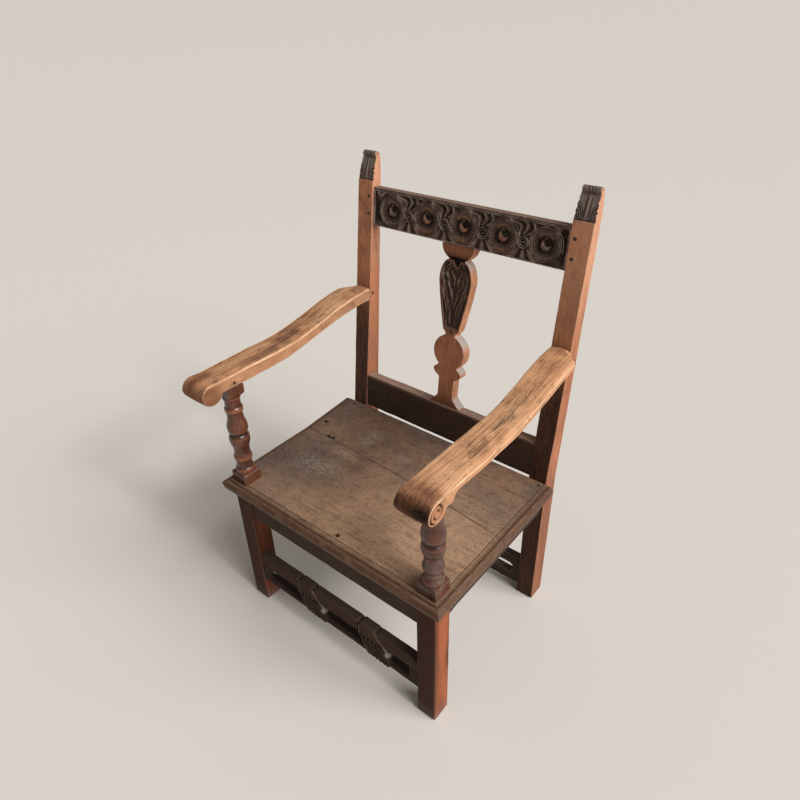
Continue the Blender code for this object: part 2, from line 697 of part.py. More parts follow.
def arm(name, side):
    """What the arm's side view and its plan have in common, with its tenon and its socket."""
    spread = sorted((side * (POST_INNER - OVERCUT), side * (POST_INNER + ARM_WIDTH + OVERCUT)))
    made = outline(name, arm_side(), spread[0], spread[1], SIDE, HONEY)
    low = ARM_UNDERSIDE - ARM_SCROLL_DROP - OVERCUT
    high = ARM_UNDERSIDE + ARM_THICKNESS + ARM_RISE + OVERCUT
    combine(made, outline(name + "_plan", arm_plan(side), low, high, PLAN), "INTERSECT")
    cut(made, undercut(name + "_undercut", side))
    tenon_x = side * (POST_INNER + BACK_POST_WIDTH / 2)
    tenon_z = ARM_UNDERSIDE + ARM_RISE + ARM_THICKNESS / 2
    face = back_front(tenon_z)
    corners = (
        (tenon_x - ARM_TENON_WIDTH / 2, face - OVERCUT, tenon_z - ARM_TENON_HEIGHT / 2),
        (tenon_x + ARM_TENON_WIDTH / 2, face + ARM_TENON_LENGTH, tenon_z + ARM_TENON_HEIGHT / 2),
    )
    join(made, box(name + "_tenon", *corners))
    mortise(name + "_mortise", *corners, (BACK_POSTS[side],))
    mortise(name + "_socket", *support_tenon(side), (made,))
    return made, face + ARM_TENON_LENGTH / 2, tenon_z


for side, word in SIDES:
    made, tenon_y, tenon_z = arm("arm_" + word, side)
    pieces = (made, BACK_POSTS[side])
    peg("arm_peg_" + word, (side * POST_INNER, tenon_y, tenon_z), "X", -side, pieces)
    socket_z = CAP_TOP + TENON_LENGTH / 2
    pieces = (made, FRONT_POSTS[side])
    peg("support_peg_" + word, (side * POST_INNER, LEG_Y, socket_z), "X", -side, pieces)


def edge_mould(extra):
    """The seat's moulded edge as inset and depth: two quirks, a roll, and a face that slopes in.

    Extra carries both ends of the mould past the seat's own faces.
    """
    quirk = MOULD_QUIRK
    points = [(MOULD_WIDTH, -extra), (MOULD_WIDTH - 0.7 * quirk, quirk)]
    points += [(MOULD_WIDTH - 1.6 * quirk, quirk * 0.3), (MOULD_ROLL + 1.6 * quirk, quirk * 0.6)]
    points += [(MOULD_ROLL + 0.7 * quirk, quirk * 1.7)]
    crown = quirk * 0.8
    deep = SEAT_THICKNESS * 0.5
    steps = 5
    for i in range(steps + 1):
        angle = math.pi / 2 * i / steps
        inset = MOULD_ROLL * (1 - math.sin(angle))
        points.append((inset, crown + (deep - crown) * (1 - math.cos(angle))))
    points.append((0.18 * (SEAT_THICKNESS - deep + extra), SEAT_THICKNESS + extra))
    return points


def seat_section():
    """The seat's section from front to back."""
    points = [(SEAT_BACK, SEAT_BOTTOM), (SEAT_BACK, SEAT_HEIGHT)]
    points += [(SEAT_FRONT + inset, SEAT_HEIGHT - deep) for inset, deep in edge_mould(0)]
    return outline("seat_section", points, -SEAT_WIDE, SEAT_WIDE, SIDE)


def seat_ends(name, spread):
    """The seat's section from side to side, its left edge running out by the spread at the back."""
    points = [(SEAT_HALF - inset, SEAT_HEIGHT - deep) for inset, deep in edge_mould(OVERCUT)]
    points += [(-x, z) for x, z in reversed(points)]
    made = outline(name, points, -(SEAT_BACK + OVERCUT), OVERCUT - SEAT_FRONT, FRONT)
    start = joint_y(-SEAT_HALF)
    for vertex in made.data.vertices:
        if vertex.co.x < 0:
            vertex.co.x -= spread * (vertex.co.y - start) / (SEAT_BACK - start)
    return made


def joint_y(x):
    """Where the joint of the two seat boards is at this distance from the middle."""
    share = x / SEAT_HALF
    bow = JOINT_BOW * max(1 - share * share, 0)
    return SEAT_FRONT + FRONT_BOARD_DEPTH - share * JOINT_SKEW / 2 + bow


SEAT_SECTION = seat_section()


def seat_board(name, plan, ends):
    made = outline(name, plan, SEAT_BOTTOM - OVERCUT, SEAT_HEIGHT + OVERCUT, PLAN, SEAT)
    combine(made, SEAT_SECTION, "INTERSECT")
    combine(made, ends, "INTERSECT")
    return made


JOINT_STEPS = 10
joint_line = []
for i in range(JOINT_STEPS + 1):
    x = SEAT_WIDE * (2 * i / JOINT_STEPS - 1)
    joint_line.append((x, joint_y(x)))
SEAT_BOARD_FRONT = seat_board(
    "seat_board_front",
    [(SEAT_WIDE, SEAT_FRONT - OVERCUT)]
    + [(x, y - GAP / 2) for x, y in reversed(joint_line)]
    + [(-SEAT_WIDE, SEAT_FRONT - OVERCUT)],
    seat_ends("seat_ends_front", 0),
)
SEAT_BOARD_REAR = seat_board(
    "seat_board_rear",
    [(-SEAT_WIDE, SEAT_BACK + OVERCUT)]
    + [(x, y + GAP / 2) for x, y in joint_line]
    + [(SEAT_WIDE, SEAT_BACK + OVERCUT)],
    seat_ends("seat_ends_rear", SEAT_SPREAD),
)
corner_x = -(SEAT_HALF + SEAT_SPREAD - SEAT_CORNER)
corner_y = SEAT_BACK - SEAT_CORNER
corner_past = corner_x - SEAT_CORNER - OVERCUT
cut(
    SEAT_BOARD_REAR,
    outline(
        "seat_corner",
        arc((corner_x, corner_y), SEAT_CORNER, 90, 180, 6)
        + [(corner_past, corner_y), (corner_past, SEAT_BACK + OVERCUT), (corner_x, SEAT_BACK + OVERCUT)],
        SEAT_BOTTOM - OVERCUT,
        SEAT_HEIGHT + OVERCUT,
        PLAN,
    ),
)
for side, word in SIDES:
    corners = leg_corners(side, SEAT_BOTTOM - OVERCUT, SEAT_HEIGHT + OVERCUT)
    mortise("seat_hole_" + word, *corners, (SEAT_BOARD_FRONT,))

# Seat rails
front_rail_tenons = rail_between(
    "seat_rail_front",
    LEG_INNER,
    (FRONT_Y + FRONT_RAIL_INSET, RAIL_TOP - FRONT_RAIL_HEIGHT),
    (FRONT_Y + FRONT_RAIL_INSET + RAIL_THICKNESS, RAIL_TOP),
    DARK,
)[1]
mortise("front_rail_mortise", *front_rail_tenons, FRONT_POSTS.values())


def side_rail(name, side):
    """A rail from the front post to the back post, its front tenon clear of the front rail's."""
    outer = HALF_WIDTH - SIDE_RAIL_INSET
    ends = sorted((side * (outer - RAIL_THICKNESS), side * outer))
    bottom = RAIL_TOP - SIDE_RAIL_HEIGHT
    low = (ends[0], FRONT_Y + LEG_DEPTH + GAP, bottom)
    made = box(name, low, (ends[1], BACK_Y - GAP, RAIL_TOP), DARK)
    middle = sum(ends) / 2
    tenon_front = front_rail_tenons[1][1] + TENON_THICKNESS / 2
    corners = (
        (middle - TENON_THICKNESS / 2, tenon_front, bottom + TENON_SHOULDER),
        (middle + TENON_THICKNESS / 2, BACK_Y + TENON_LENGTH, RAIL_TOP - TENON_SHOULDER),
    )
    join(made, box(name + "_tenons", *corners))
    mortise(name + "_mortise", *corners, (FRONT_POSTS[side], BACK_POSTS[side]))
    return made


def nail(name, x, y, pieces):
    """A nail with a flat head let into the seat, and its hole."""
    top = SEAT_HEIGHT + GAP
    under = top - NAIL_HEAD_HEIGHT
    tip = SEAT_HEIGHT - NAIL_LENGTH
    profile = [(0, top), (NAIL_HEAD, top - GAP), (NAIL_HEAD, under)]
    profile += [(NAIL_RADIUS, under), (NAIL_RADIUS, tip), (0, tip)]
    turned(name, profile, (x, y, 0), IRON)
    room = GAP / math.cos(math.pi / TURN_STEPS)
    hole = [(0, top + OVERCUT), (NAIL_HEAD + room, top + OVERCUT), (NAIL_HEAD + room, under - GAP)]
    hole += [(NAIL_RADIUS + room, under - GAP), (NAIL_RADIUS + room, tip - GAP), (0, tip - GAP)]
    tool = turned(name + "_hole", hole, (x, y, 0))
    for piece in pieces:
        cut(piece, tool)


for side, word in SIDES:
    rail = side_rail("seat_rail_" + word, side)
    nail_x = side * (HALF_WIDTH - SIDE_RAIL_INSET - RAIL_THICKNESS / 4)
    nail("seat_nail_" + word, nail_x, SEAT_BACK - NAIL_INSET, (SEAT_BOARD_REAR, rail))

# Front stretcher, gouged between two leaf knots that stand a little proud
STRETCHER_FACE = FRONT_Y + STRETCHER_INSET
STRETCHER_TOP = STRETCHER_BOTTOM + STRETCHER_HEIGHT
STRETCHER, stretcher_tenons = rail_between(
    "front_stretcher",
    LEG_INNER,
    (STRETCHER_FACE, STRETCHER_BOTTOM),
    (STRETCHER_FACE + STRETCHER_THICKNESS, STRETCHER_TOP),
    DARK,
)
mortise("stretcher_mortise", *stretcher_tenons, FRONT_POSTS.values())


def round_ended(left, right, middle, height, steps):
    """The outline of a long opening with round ends."""
    radius = height / 2
    points = arc((right - radius, middle), radius, -90, 90, steps)
    return points + arc((left + radius, middle), radius, 90, 270, steps)


def channel(name, left, right):
    """A long gouge in the stretcher's face."""
    points = round_ended(left, right, STRETCHER_TOP - STRETCHER_HEIGHT / 2, CHANNEL_HEIGHT, 8)
    floor = STRETCHER_FACE + CHANNEL_DEPTH
    cut(STRETCHER, outline(name, points, -floor, OVERCUT - STRETCHER_FACE, FRONT))


def knot(name, middle):
    """A leaf knot across the stretcher, leaning at its right side."""
    half = KNOT_WIDTH / 2
    points = [
        (middle - half, STRETCHER_BOTTOM - KNOT_DROP),
        (middle + half + KNOT_LEAN, STRETCHER_BOTTOM - KNOT_DROP),
        (middle + half - KNOT_LEAN, STRETCHER_TOP + KNOT_RAISE),
        (middle - half + KNOT_LEAN / 2, STRETCHER_TOP + KNOT_RAISE),
    ]
    back = STRETCHER_FACE + STRETCHER_THICKNESS - SINK
    join(STRETCHER, outline(name, points, -back, KNOT_RAISE - STRETCHER_FACE, FRONT))


channel_end = LEG_INNER - CHANNEL_MARGIN
knot_reach = KNOT_WIDTH / 2 + KNOT_LEAN / 2
channel("channel_left", -channel_end, -KNOT_PLACE - knot_reach)
channel("channel_middle", -KNOT_PLACE + knot_reach, KNOT_PLACE - knot_reach)
channel("channel_right", KNOT_PLACE + knot_reach, channel_end)
for side, word in SIDES:
    knot("knot_" + word, side * KNOT_PLACE)

# Rear stretcher, pierced by a long slot with round ends
REAR_FACE = BACK_Y + REAR_STRETCHER_INSET
REAR_STRETCHER, rear_tenons = rail_between(
    "rear_stretcher",
    POST_INNER,
    (REAR_FACE, REAR_STRETCHER_BOTTOM),
    (REAR_FACE + REAR_STRETCHER_THICKNESS, REAR_STRETCHER_BOTTOM + REAR_STRETCHER_HEIGHT),
    DARK,
)
mortise("rear_stretcher_mortise", *rear_tenons, BACK_POSTS.values())
slot_end = POST_INNER - SLOT_MARGIN
slot = round_ended(
    -slot_end,
    slot_end,
    REAR_STRETCHER_BOTTOM + REAR_STRETCHER_HEIGHT / 2,
    SLOT_HEIGHT,
    10,
)
slot_back = REAR_FACE + REAR_STRETCHER_THICKNESS + OVERCUT
cut(REAR_STRETCHER, outline("rear_slot", slot, -slot_back, OVERCUT - REAR_FACE, FRONT))

# Pegs through the tenons of the back and of the front stretcher
for side, word in SIDES:
    peg_x = side * (POST_INNER + TENON_LENGTH / 2)
    pieces = (BACK_POSTS[side], CREST)
    for level, share in (("upper", UPPER_PEG_PLACE), ("lower", LOWER_PEG_PLACE)):
        face = (peg_x, 0, CREST_BOTTOM + share * CREST_HEIGHT)
        peg(f"crest_peg_{word}_{level}", face, "Y", -1, pieces, BACK_FRAME)
    face = (peg_x, 0, LOWER_RAIL_BOTTOM + RAIL_PEG_PLACE * LOWER_RAIL_HEIGHT)
    peg("lower_rail_peg_" + word, face, "Y", -1, (BACK_POSTS[side], LOWER_RAIL), BACK_FRAME)
    peg_x = side * (LEG_INNER + TENON_LENGTH / 2)
    face = (peg_x, FRONT_Y, STRETCHER_BOTTOM + STRETCHER_PEG_PLACE * STRETCHER_HEIGHT)
    peg("stretcher_peg_" + word, face, "Y", -1, (FRONT_POSTS[side], STRETCHER))
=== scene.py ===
"""The looks of a carved wooden armchair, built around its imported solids, in metres.

+X is to the right of someone who faces the chair, +Y runs from the front to the back, and +Z is up.
Left and right in names are that person's. A piece's marks (dark, wear, hollow, dust and so on) are
values from 0 to 1 at its points, which its finish reads.
"""

import functools
import logging
import math
from dataclasses import dataclass
from enum import Enum
from typing import NamedTuple

import bpy
import numpy as np
from mathutils import Matrix, Vector
from mathutils.bvhtree import BVHTree


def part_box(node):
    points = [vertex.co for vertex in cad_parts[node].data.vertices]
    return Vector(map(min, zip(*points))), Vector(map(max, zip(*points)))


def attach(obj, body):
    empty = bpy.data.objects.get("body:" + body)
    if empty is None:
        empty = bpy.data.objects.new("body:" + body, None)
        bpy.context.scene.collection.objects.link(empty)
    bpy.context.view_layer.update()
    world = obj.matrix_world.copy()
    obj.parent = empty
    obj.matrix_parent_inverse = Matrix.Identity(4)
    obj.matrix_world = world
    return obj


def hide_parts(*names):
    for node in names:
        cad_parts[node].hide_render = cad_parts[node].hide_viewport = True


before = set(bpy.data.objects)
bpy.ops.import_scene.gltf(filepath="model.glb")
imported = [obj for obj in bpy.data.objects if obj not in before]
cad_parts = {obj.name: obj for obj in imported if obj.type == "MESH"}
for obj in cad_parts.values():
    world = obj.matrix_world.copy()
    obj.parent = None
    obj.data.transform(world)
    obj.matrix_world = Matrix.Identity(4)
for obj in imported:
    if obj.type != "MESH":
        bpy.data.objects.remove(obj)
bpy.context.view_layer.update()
MERGE = 0.000004  # points closer than this become one
CLEARANCE = 0.0003  # between a piece and its neighbour
TENON = 0.022  # of a support in its arm
MARKS = ("dark", "warm", "wear", "hollow", "dust", "gloss", "sound")
HASH = (73856093, 19349663, 83492791, 2654435761, 1274126177)  # stirs the noise's cells
HASH_TOP = 65535
SMOOTH = math.radians(42)  # faces that meet at less than this look round
FAR = 0.1  # from where a solid is felt
FULL_TURN = 2 * math.pi
log = logging.getLogger("armchair")
Array = np.ndarray
Pair = tuple[float, float]
Trio = tuple[float, float, float]
Four = tuple[float, float, float, float]
Colour = Trio
Marks = dict[str, Array]
Piece = bpy.types.Object
Material = bpy.types.Material
Socket = bpy.types.NodeSocket


class Side(Enum):
    """Which side of the chair a piece is on, as the sign of its X."""

    LEFT = -1
    RIGHT = 1

    @property
    def word(self) -> str:
        """The side's word in the names of nodes."""
        return self.name.lower()

    def pick(self, left: float, right: float) -> float:
        """The one of two values that is for this side."""
        return left if self is Side.LEFT else right


class Grain(Enum):
    """The way the wood's grain runs, as the axis it follows."""

    ACROSS = 0
    DEEP = 1
    UPRIGHT = 2


class Way(Enum):
    """A way that a point of a section may face, as steps in its first and second direction."""

    FAR_FIRST = (1, 0)
    NEAR_FIRST = (-1, 0)
    FAR_SECOND = (0, 1)
    NEAR_SECOND = (0, -1)


class Plank(Enum):
    """One of the seat's two boards."""

    FRONT = "front"
    REAR = "rear"


def ease(values: Array, low: float, high: float) -> Array:
    """A smooth step from 0 at low to 1 at high."""
    share = np.clip((np.asarray(values) - low) / (high - low), 0.0, 1.0)
    return share * share * (3.0 - 2.0 * share)


def hump(values: Array, middle: float, reach: float) -> Array:
    """A soft rise that is 1 at the middle and 0 from the reach on."""
    share = np.clip(np.abs(values - middle) / reach, 0.0, 1.0)
    return (1 - share * share) ** 2


def bead(values: Array, middle: float, reach: float) -> Array:
    """A half-round rise that is 1 at the middle and 0 from the reach on."""
    share = np.clip(np.abs(values - middle) / reach, 0.0, 1.0)
    return np.sqrt(1 - share * share)


def fade(values: Array, low: float, high: float) -> Array:
    """A smooth step from 1 at low to 0 at high."""
    return 1 - ease(values, low, high)


def stretch(values: Array, run: Four) -> Array:
    """1 along a run, which starts between its first two values and ends between its last two."""
    return ease(values, run[0], run[1]) * fade(values, run[2], run[3])


def unit(values: Array) -> Array:
    """Values held between 0 and 1."""
    return np.clip(values, 0.0, 1.0)


def most(*values: Array) -> Array:
    """The largest of several values at each place."""
    return functools.reduce(np.maximum, values)


def mottle(points: Array, cell: float | Trio, seed: int) -> Array:
    """Smooth noise over space, the same at every run.

    Args:
        points: Places, with X, Y and Z last.
        cell: Size of the noise's cells, for all axes or for each.
        seed: Which pattern to take.

    Returns:
        A value from 0 to 1 for each place.
    """
    scaled = np.asarray(points) / np.asarray(cell)
    base = np.floor(scaled).astype(np.int64)
    part = scaled - base
    part = part * part * (3.0 - 2.0 * part)
    total = np.zeros(scaled.shape[:-1])
    for corner in np.ndindex(2, 2, 2):
        mixed = np.full(total.shape, seed * HASH[3], dtype=np.int64)
        weight = np.ones_like(total)
        for axis in range(3):
            mixed ^= (base[..., axis] + corner[axis]) * HASH[axis]
            weight *= part[..., axis] if corner[axis] else 1 - part[..., axis]
        mixed = (mixed ^ (mixed >> 13)) * HASH[4]
        total += weight * ((mixed ^ (mixed >> 16)) & HASH_TOP) / HASH_TOP
    return total


def stirred(points: Array, amount: float, cell: float, seed: int) -> Array:
    """Places pushed about a little, as hand-worked and worn wood is."""
    pushes = [mottle(points, cell, seed + axis) - 0.5 for axis in range(3)]
    return points + 2.0 * amount * np.stack(pushes, axis=-1)


def smoothed(values: Array, width: int) -> Array:
    """Values along a line, averaged over a window of this many."""
    padded = np.pad(values, width // 2, mode="edge")
    return np.convolve(padded, np.ones(width) / width, mode="valid")[: len(values)]


def select_only(piece: Piece) -> None:
    """Selects this piece and nothing else."""
    bpy.ops.object.select_all(action="DESELECT")
    piece.select_set(True)
    bpy.context.view_layer.objects.active = piece


def shut(piece: Piece) -> None:
    """Merges a piece's doubled points, fills its open ends and turns its faces outwards."""
    select_only(piece)
    bpy.ops.object.mode_set(mode="EDIT")
    bpy.ops.mesh.select_mode(type="VERT")
    bpy.ops.mesh.select_all(action="SELECT")
    bpy.ops.mesh.remove_doubles(threshold=MERGE)
    bpy.ops.mesh.fill_holes(sides=0)
    bpy.ops.mesh.normals_make_consistent(inside=False)
    bpy.ops.object.mode_set(mode="OBJECT")


def points_of(piece: Piece) -> Array:
    """The places of a piece's points."""
    flat = np.empty(len(piece.data.vertices) * 3, dtype=np.float32)
    piece.data.vertices.foreach_get("co", flat)
    return flat.reshape(-1, 3)


def move_points(piece: Piece, points: Array) -> None:
    """Puts a piece's points in new places."""
    piece.data.vertices.foreach_set("co", points.astype(np.float32).ravel())


def rolled(name: str, points: Array, marks: Marks) -> Piece:
    """Bends a grid into a closed bar and shuts its two ends.

    Args:
        name: The piece's name.
        points: Places, ring by ring along the bar and point by point round it.
        marks: Values for the finish at the same places.

    Returns:
        The new piece.
    """
    rings, around = points.shape[:2]
    bpy.ops.object.select_all(action="DESELECT")
    bpy.ops.mesh.primitive_grid_add(
        x_subdivisions=around, y_subdivisions=rings - 1, size=1.0, calc_uvs=False
    )
    made = bpy.context.object
    made.name = name
    made.data.name = name
    flat = points_of(made)
    column = np.rint((flat[:, 0] + 0.5) * around).astype(int) % around
    row = np.rint((flat[:, 1] + 0.5) * (rings - 1)).astype(int)
    move_points(made, points[row, column])
    for word in MARKS:
        layer = made.data.attributes.new(word, "FLOAT", "POINT")
        spread = np.broadcast_to(marks.get(word, 0.0), points.shape[:2])
        layer.data.foreach_set("value", spread[row, column].astype(np.float32))
    shut(made)
    return made


def dress(piece: Piece, material: Material, slot: str, *nodes: str) -> None:
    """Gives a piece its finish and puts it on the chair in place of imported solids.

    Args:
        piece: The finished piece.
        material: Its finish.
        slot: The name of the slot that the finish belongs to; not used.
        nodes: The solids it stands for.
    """
    piece.data.materials.clear()
    piece.data.materials.append(material)
    select_only(piece)
    bpy.ops.object.shade_smooth_by_angle(angle=SMOOTH)
    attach(piece, "root")
    if nodes:
        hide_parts(*nodes)
    log.info("%s: %d faces, for %s", piece.name, len(piece.data.polygons), ", ".join(nodes))


class Rim(NamedTuple):
    """The points round a section.

    Run and rise are their places along the first and the second direction, from -1 to 1 between the
    corners, angle is the way they face, and edge is how far they are into a corner, from 0 to 1.
    """

    run: Array
    rise: Array
    angle: Array
    edge: Array


@dataclass(frozen=True)
class Section:
    """Points round a bar's four sides and rounded corners.

    The sides are counted from the far side of the first direction, over the far side of the second,
    to the near side of the first and the near side of the second.
    """

    counts: tuple[int, int, int, int]
    corner: int = 4

    @property
    def rim(self) -> Rim:
        """The points in their order."""
        rows = []
        for number, count in enumerate(self.counts):
            angle = number * math.pi / 2
            first, second = round(math.cos(angle)), round(math.sin(angle))
            for run in np.linspace(-1.0, 1.0, count + 1):
                rows.append((first - second * run, second + first * run, angle, 0.0))
            end = rows[-1]
            for step in range(1, self.corner):
                share = step / self.corner
                rows.append((end[0], end[1], angle + share * math.pi / 2, math.sin(share * math.pi)))
        return Rim(*np.array(rows).T)

    def face(self, way: Way, power: int) -> Array:
        """1 where the points face a way, and less the more they turn from it."""
        first, second = way.value
        return unit(first * np.cos(self.rim.angle) + second * np.sin(self.rim.angle)) ** power

    def facing(self, way: Way, low: float = 0.3, high: float = 0.9) -> Array:
        """How far the points face a way, from 0 where they do by low to 1 where they do by high."""
        return ease(self.face(way, 1), low, high)

    def place(
        self, first: tuple[Array, Array], second: tuple[Array, Array], radius: Array
    ) -> tuple[Array, Array]:
        """Places of the points on one or many sections.

        Args:
            first: Low and high ends in the first direction, as numbers or as one column.
            second: Low and high ends in the second direction.
            radius: Radius of the corners.

        Returns:
            The places in the first and in the second direction.
        """
        run, rise, angle, _ = self.rim
        half = [(high - low) / 2 for low, high in (first, second)]
        middle = [(high + low) / 2 for low, high in (first, second)]
        bend = np.minimum(radius, np.minimum(half[0], half[1]))
        across = middle[0] + run * (half[0] - bend) + bend * np.cos(angle)
        up = middle[1] + rise * (half[1] - bend) + bend * np.sin(angle)
        return across, up


class Feeler:
    """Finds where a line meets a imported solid."""

    def __init__(self, node: str) -> None:
        """Takes the shape of this node."""
        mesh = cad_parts[node].data
        corners = [vertex.co.copy() for vertex in mesh.vertices]
        faces = [tuple(face.vertices) for face in mesh.polygons]
        self.tree = BVHTree.FromPolygons(corners, faces)

    def touch(self, start: Trio, way: Trio) -> Vector:
        """The first place on the solid from this start along this way."""
        place = self.tree.ray_cast(Vector(start), Vector(way))[0]
        if place is None:
            raise ValueError(f"the line from {start} meets nothing")
        return place


@dataclass(frozen=True)
class Places:
    """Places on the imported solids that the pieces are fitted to."""

    half_width: float
    post_inner: float
    leg_inner: float
    leg_back: float
    front_y: float
    back_y: float
    seat_top: float
    seat_bottom: float
    seat_front: float
    seat_half: float
    arm_under: float
    top: float
    rake: float = math.radians(6.6)

    @classmethod
    def read(cls) -> "Places":
        """Takes the places from the boxes of the solids."""
        back_low, back_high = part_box("back_post_right")
        front_low, front_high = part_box("front_post_right")
        seat_low, seat_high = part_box("seat_board_front")
        return cls(
            half_width=back_high.x,
            post_inner=back_low.x,
            leg_inner=front_low.x,
            leg_back=front_high.y,
            front_y=front_low.y,
            back_y=back_low.y,
            seat_top=seat_high.z,
            seat_bottom=seat_low.z,
            seat_front=seat_low.y,
            seat_half=seat_high.x,
            arm_under=front_high.z - TENON + CLEARANCE,
            top=back_high.z,
        )

    def back_front(self, z: Array) -> Array:
        """Where the back's front face is at these heights."""
        return self.back_y + np.maximum(np.asarray(z) - self.seat_top, 0.0) * math.tan(self.rake)

    def lean(self, x: Array, depth: Array, up: Array) -> Array:
        """Places in the leaning back, from across, behind its front face and up that face."""
        y = self.back_y + up * math.sin(self.rake) + depth * math.cos(self.rake)
        z = self.seat_top + up * math.cos(self.rake) - depth * math.sin(self.rake)
        return np.stack(np.broadcast_arrays(x, y, z), axis=-1)


class Value:
    """A number from a node's socket. Arithmetic on it adds Math nodes."""

    def __init__(self, graph: "Graph", socket: Socket) -> None:
        """Wraps this socket of this graph."""
        self.graph = graph
        self.socket = socket

    def _math(self, operation: str, first: "Value | float", second: "Value | float" = 0.0) -> "Value":
        """The result of a Math node."""
        made = self.graph.node("ShaderNodeMath", {"operation": operation}, {0: first, 1: second})
        return Value(self.graph, made.outputs[0])

    def __add__(self, other: "Value | float") -> "Value":
        """This plus the other."""
        return self._math("ADD", self, other)

    __radd__ = __add__

    def __sub__(self, other: "Value | float") -> "Value":
        """This less the other."""
        return self._math("SUBTRACT", self, other)

    def __rsub__(self, other: float) -> "Value":
        """The other less this."""
        return self._math("SUBTRACT", other, self)

    def __mul__(self, other: "Value | float") -> "Value":
        """This times the other."""
        return self._math("MULTIPLY", self, other)

    __rmul__ = __mul__

    def __abs__(self) -> "Value":
        """This without its sign."""
        return self._math("ABSOLUTE", self)

    def most(self, other: "Value | float") -> "Value":
        """The larger of this and the other."""
        return self._math("MAXIMUM", self, other)

    def least(self, other: "Value | float") -> "Value":
        """The smaller of this and the other."""
        return self._math("MINIMUM", self, other)

    def between(self, low: float, high: float) -> "Value":
        """A smooth step from 0 where this is low to 1 where it is high."""
        sockets = {"Value": self, "From Min": low, "From Max": high}
        made = self.graph.node("ShaderNodeMapRange", {"interpolation_type": "SMOOTHSTEP"}, sockets)
        return Value(self.graph, made.outputs[0])


class Graph:
    """The nodes of one material."""

    def __init__(self, name: str) -> None:
        """Starts a material with this name."""
        self.material = bpy.data.materials.new(name)
        self.material.use_nodes = True
        self.tree = self.material.node_tree
        self.shader = self.tree.nodes["Principled BSDF"]

    def node(self, kind: str, settings: dict | None = None, sockets: dict | None = None) -> bpy.types.Node:
        """Adds a node.

        Args:
            kind: The node's type.
            settings: Its properties, which are set first.
            sockets: Values or links of its inputs, by name or number.

        Returns:
            The new node.
        """
        made = self.tree.nodes.new(kind)
        for word, setting in (settings or {}).items():
            setattr(made, word, setting)
        for key, value in (sockets or {}).items():
            self.feed(made.inputs[key], value)
        return made

    def feed(self, socket: Socket, value: object) -> None:
        """Links a value or an output to an input, or sets the input to a number or a colour."""
        source = value.socket if isinstance(value, Value) else value
        if isinstance(source, Socket):
            self.tree.links.new(source, socket)
        elif isinstance(source, tuple) and len(source) == 3 and socket.type == "RGBA":
            socket.default_value = (*source, 1.0)
        else:
            socket.default_value = source

    def mark(self, word: str) -> Value:
        """The piece's own mark with this name."""
        return Value(self, self.node("ShaderNodeAttribute", {"attribute_name": word}).outputs["Fac"])

    def place(self) -> Socket:
        """The place on the chair."""
        return self.node("ShaderNodeTexCoord").outputs["Object"]

    def stretched(self, grain: Grain, along: float, rise: float = 1.0) -> Socket:
        """The place, drawn out along the grain by one share and upwards by another."""
        scale = [1.0, 1.0, rise]
        scale[grain.value] = along
        sockets = {"Vector": self.place(), "Scale": tuple(scale)}
        return self.node("ShaderNodeMapping", None, sockets).outputs[0]

    def noise(self, vector: Socket, scale: float, detail: float = 3.0, bend: float = 0.0) -> Value:
        """Noise from 0 to 1 over a vector.

        Args:
            vector: The places.
            scale: How many patches it has in a metre.
            detail: How many finer patterns lie over it.
            bend: How far it is stirred.

        Returns:
            The noise.
        """
        sockets = {"Vector": vector, "Scale": scale, "Detail": detail, "Roughness": 0.6, "Distortion": bend}
        return Value(self, self.node("ShaderNodeTexNoise", None, sockets).outputs["Fac"])

    def mix(self, share: Value | float, first: object, second: object) -> Socket:
        """A colour between two colours, by this share of the second."""
        settings = {"data_type": "RGBA", "blend_type": "MIX", "clamp_factor": True}
        return self.node("ShaderNodeMix", settings, {0: share, 6: first, 7: second}).outputs[2]

    def layered(self, colour: object, layers: list[tuple[Value, object]]) -> object:
        """A colour with other colours laid over it, each by its share."""
        for share, over in layers:
            colour = self.mix(share, colour, over)
        return colour

    def surface(self, inputs: dict[str, object]) -> None:
        """Feeds the shader's inputs, by name."""
        for word, value in inputs.items():
            self.feed(self.shader.inputs[word], value)

    def bump(self, height: Value, strength: float, distance: float) -> None:
        """Feeds a height into the shader's normal."""
        sockets = {"Height": height, "Strength": strength, "Distance": distance}
        self.surface({"Normal": self.node("ShaderNodeBump", None, sockets).outputs[0]})


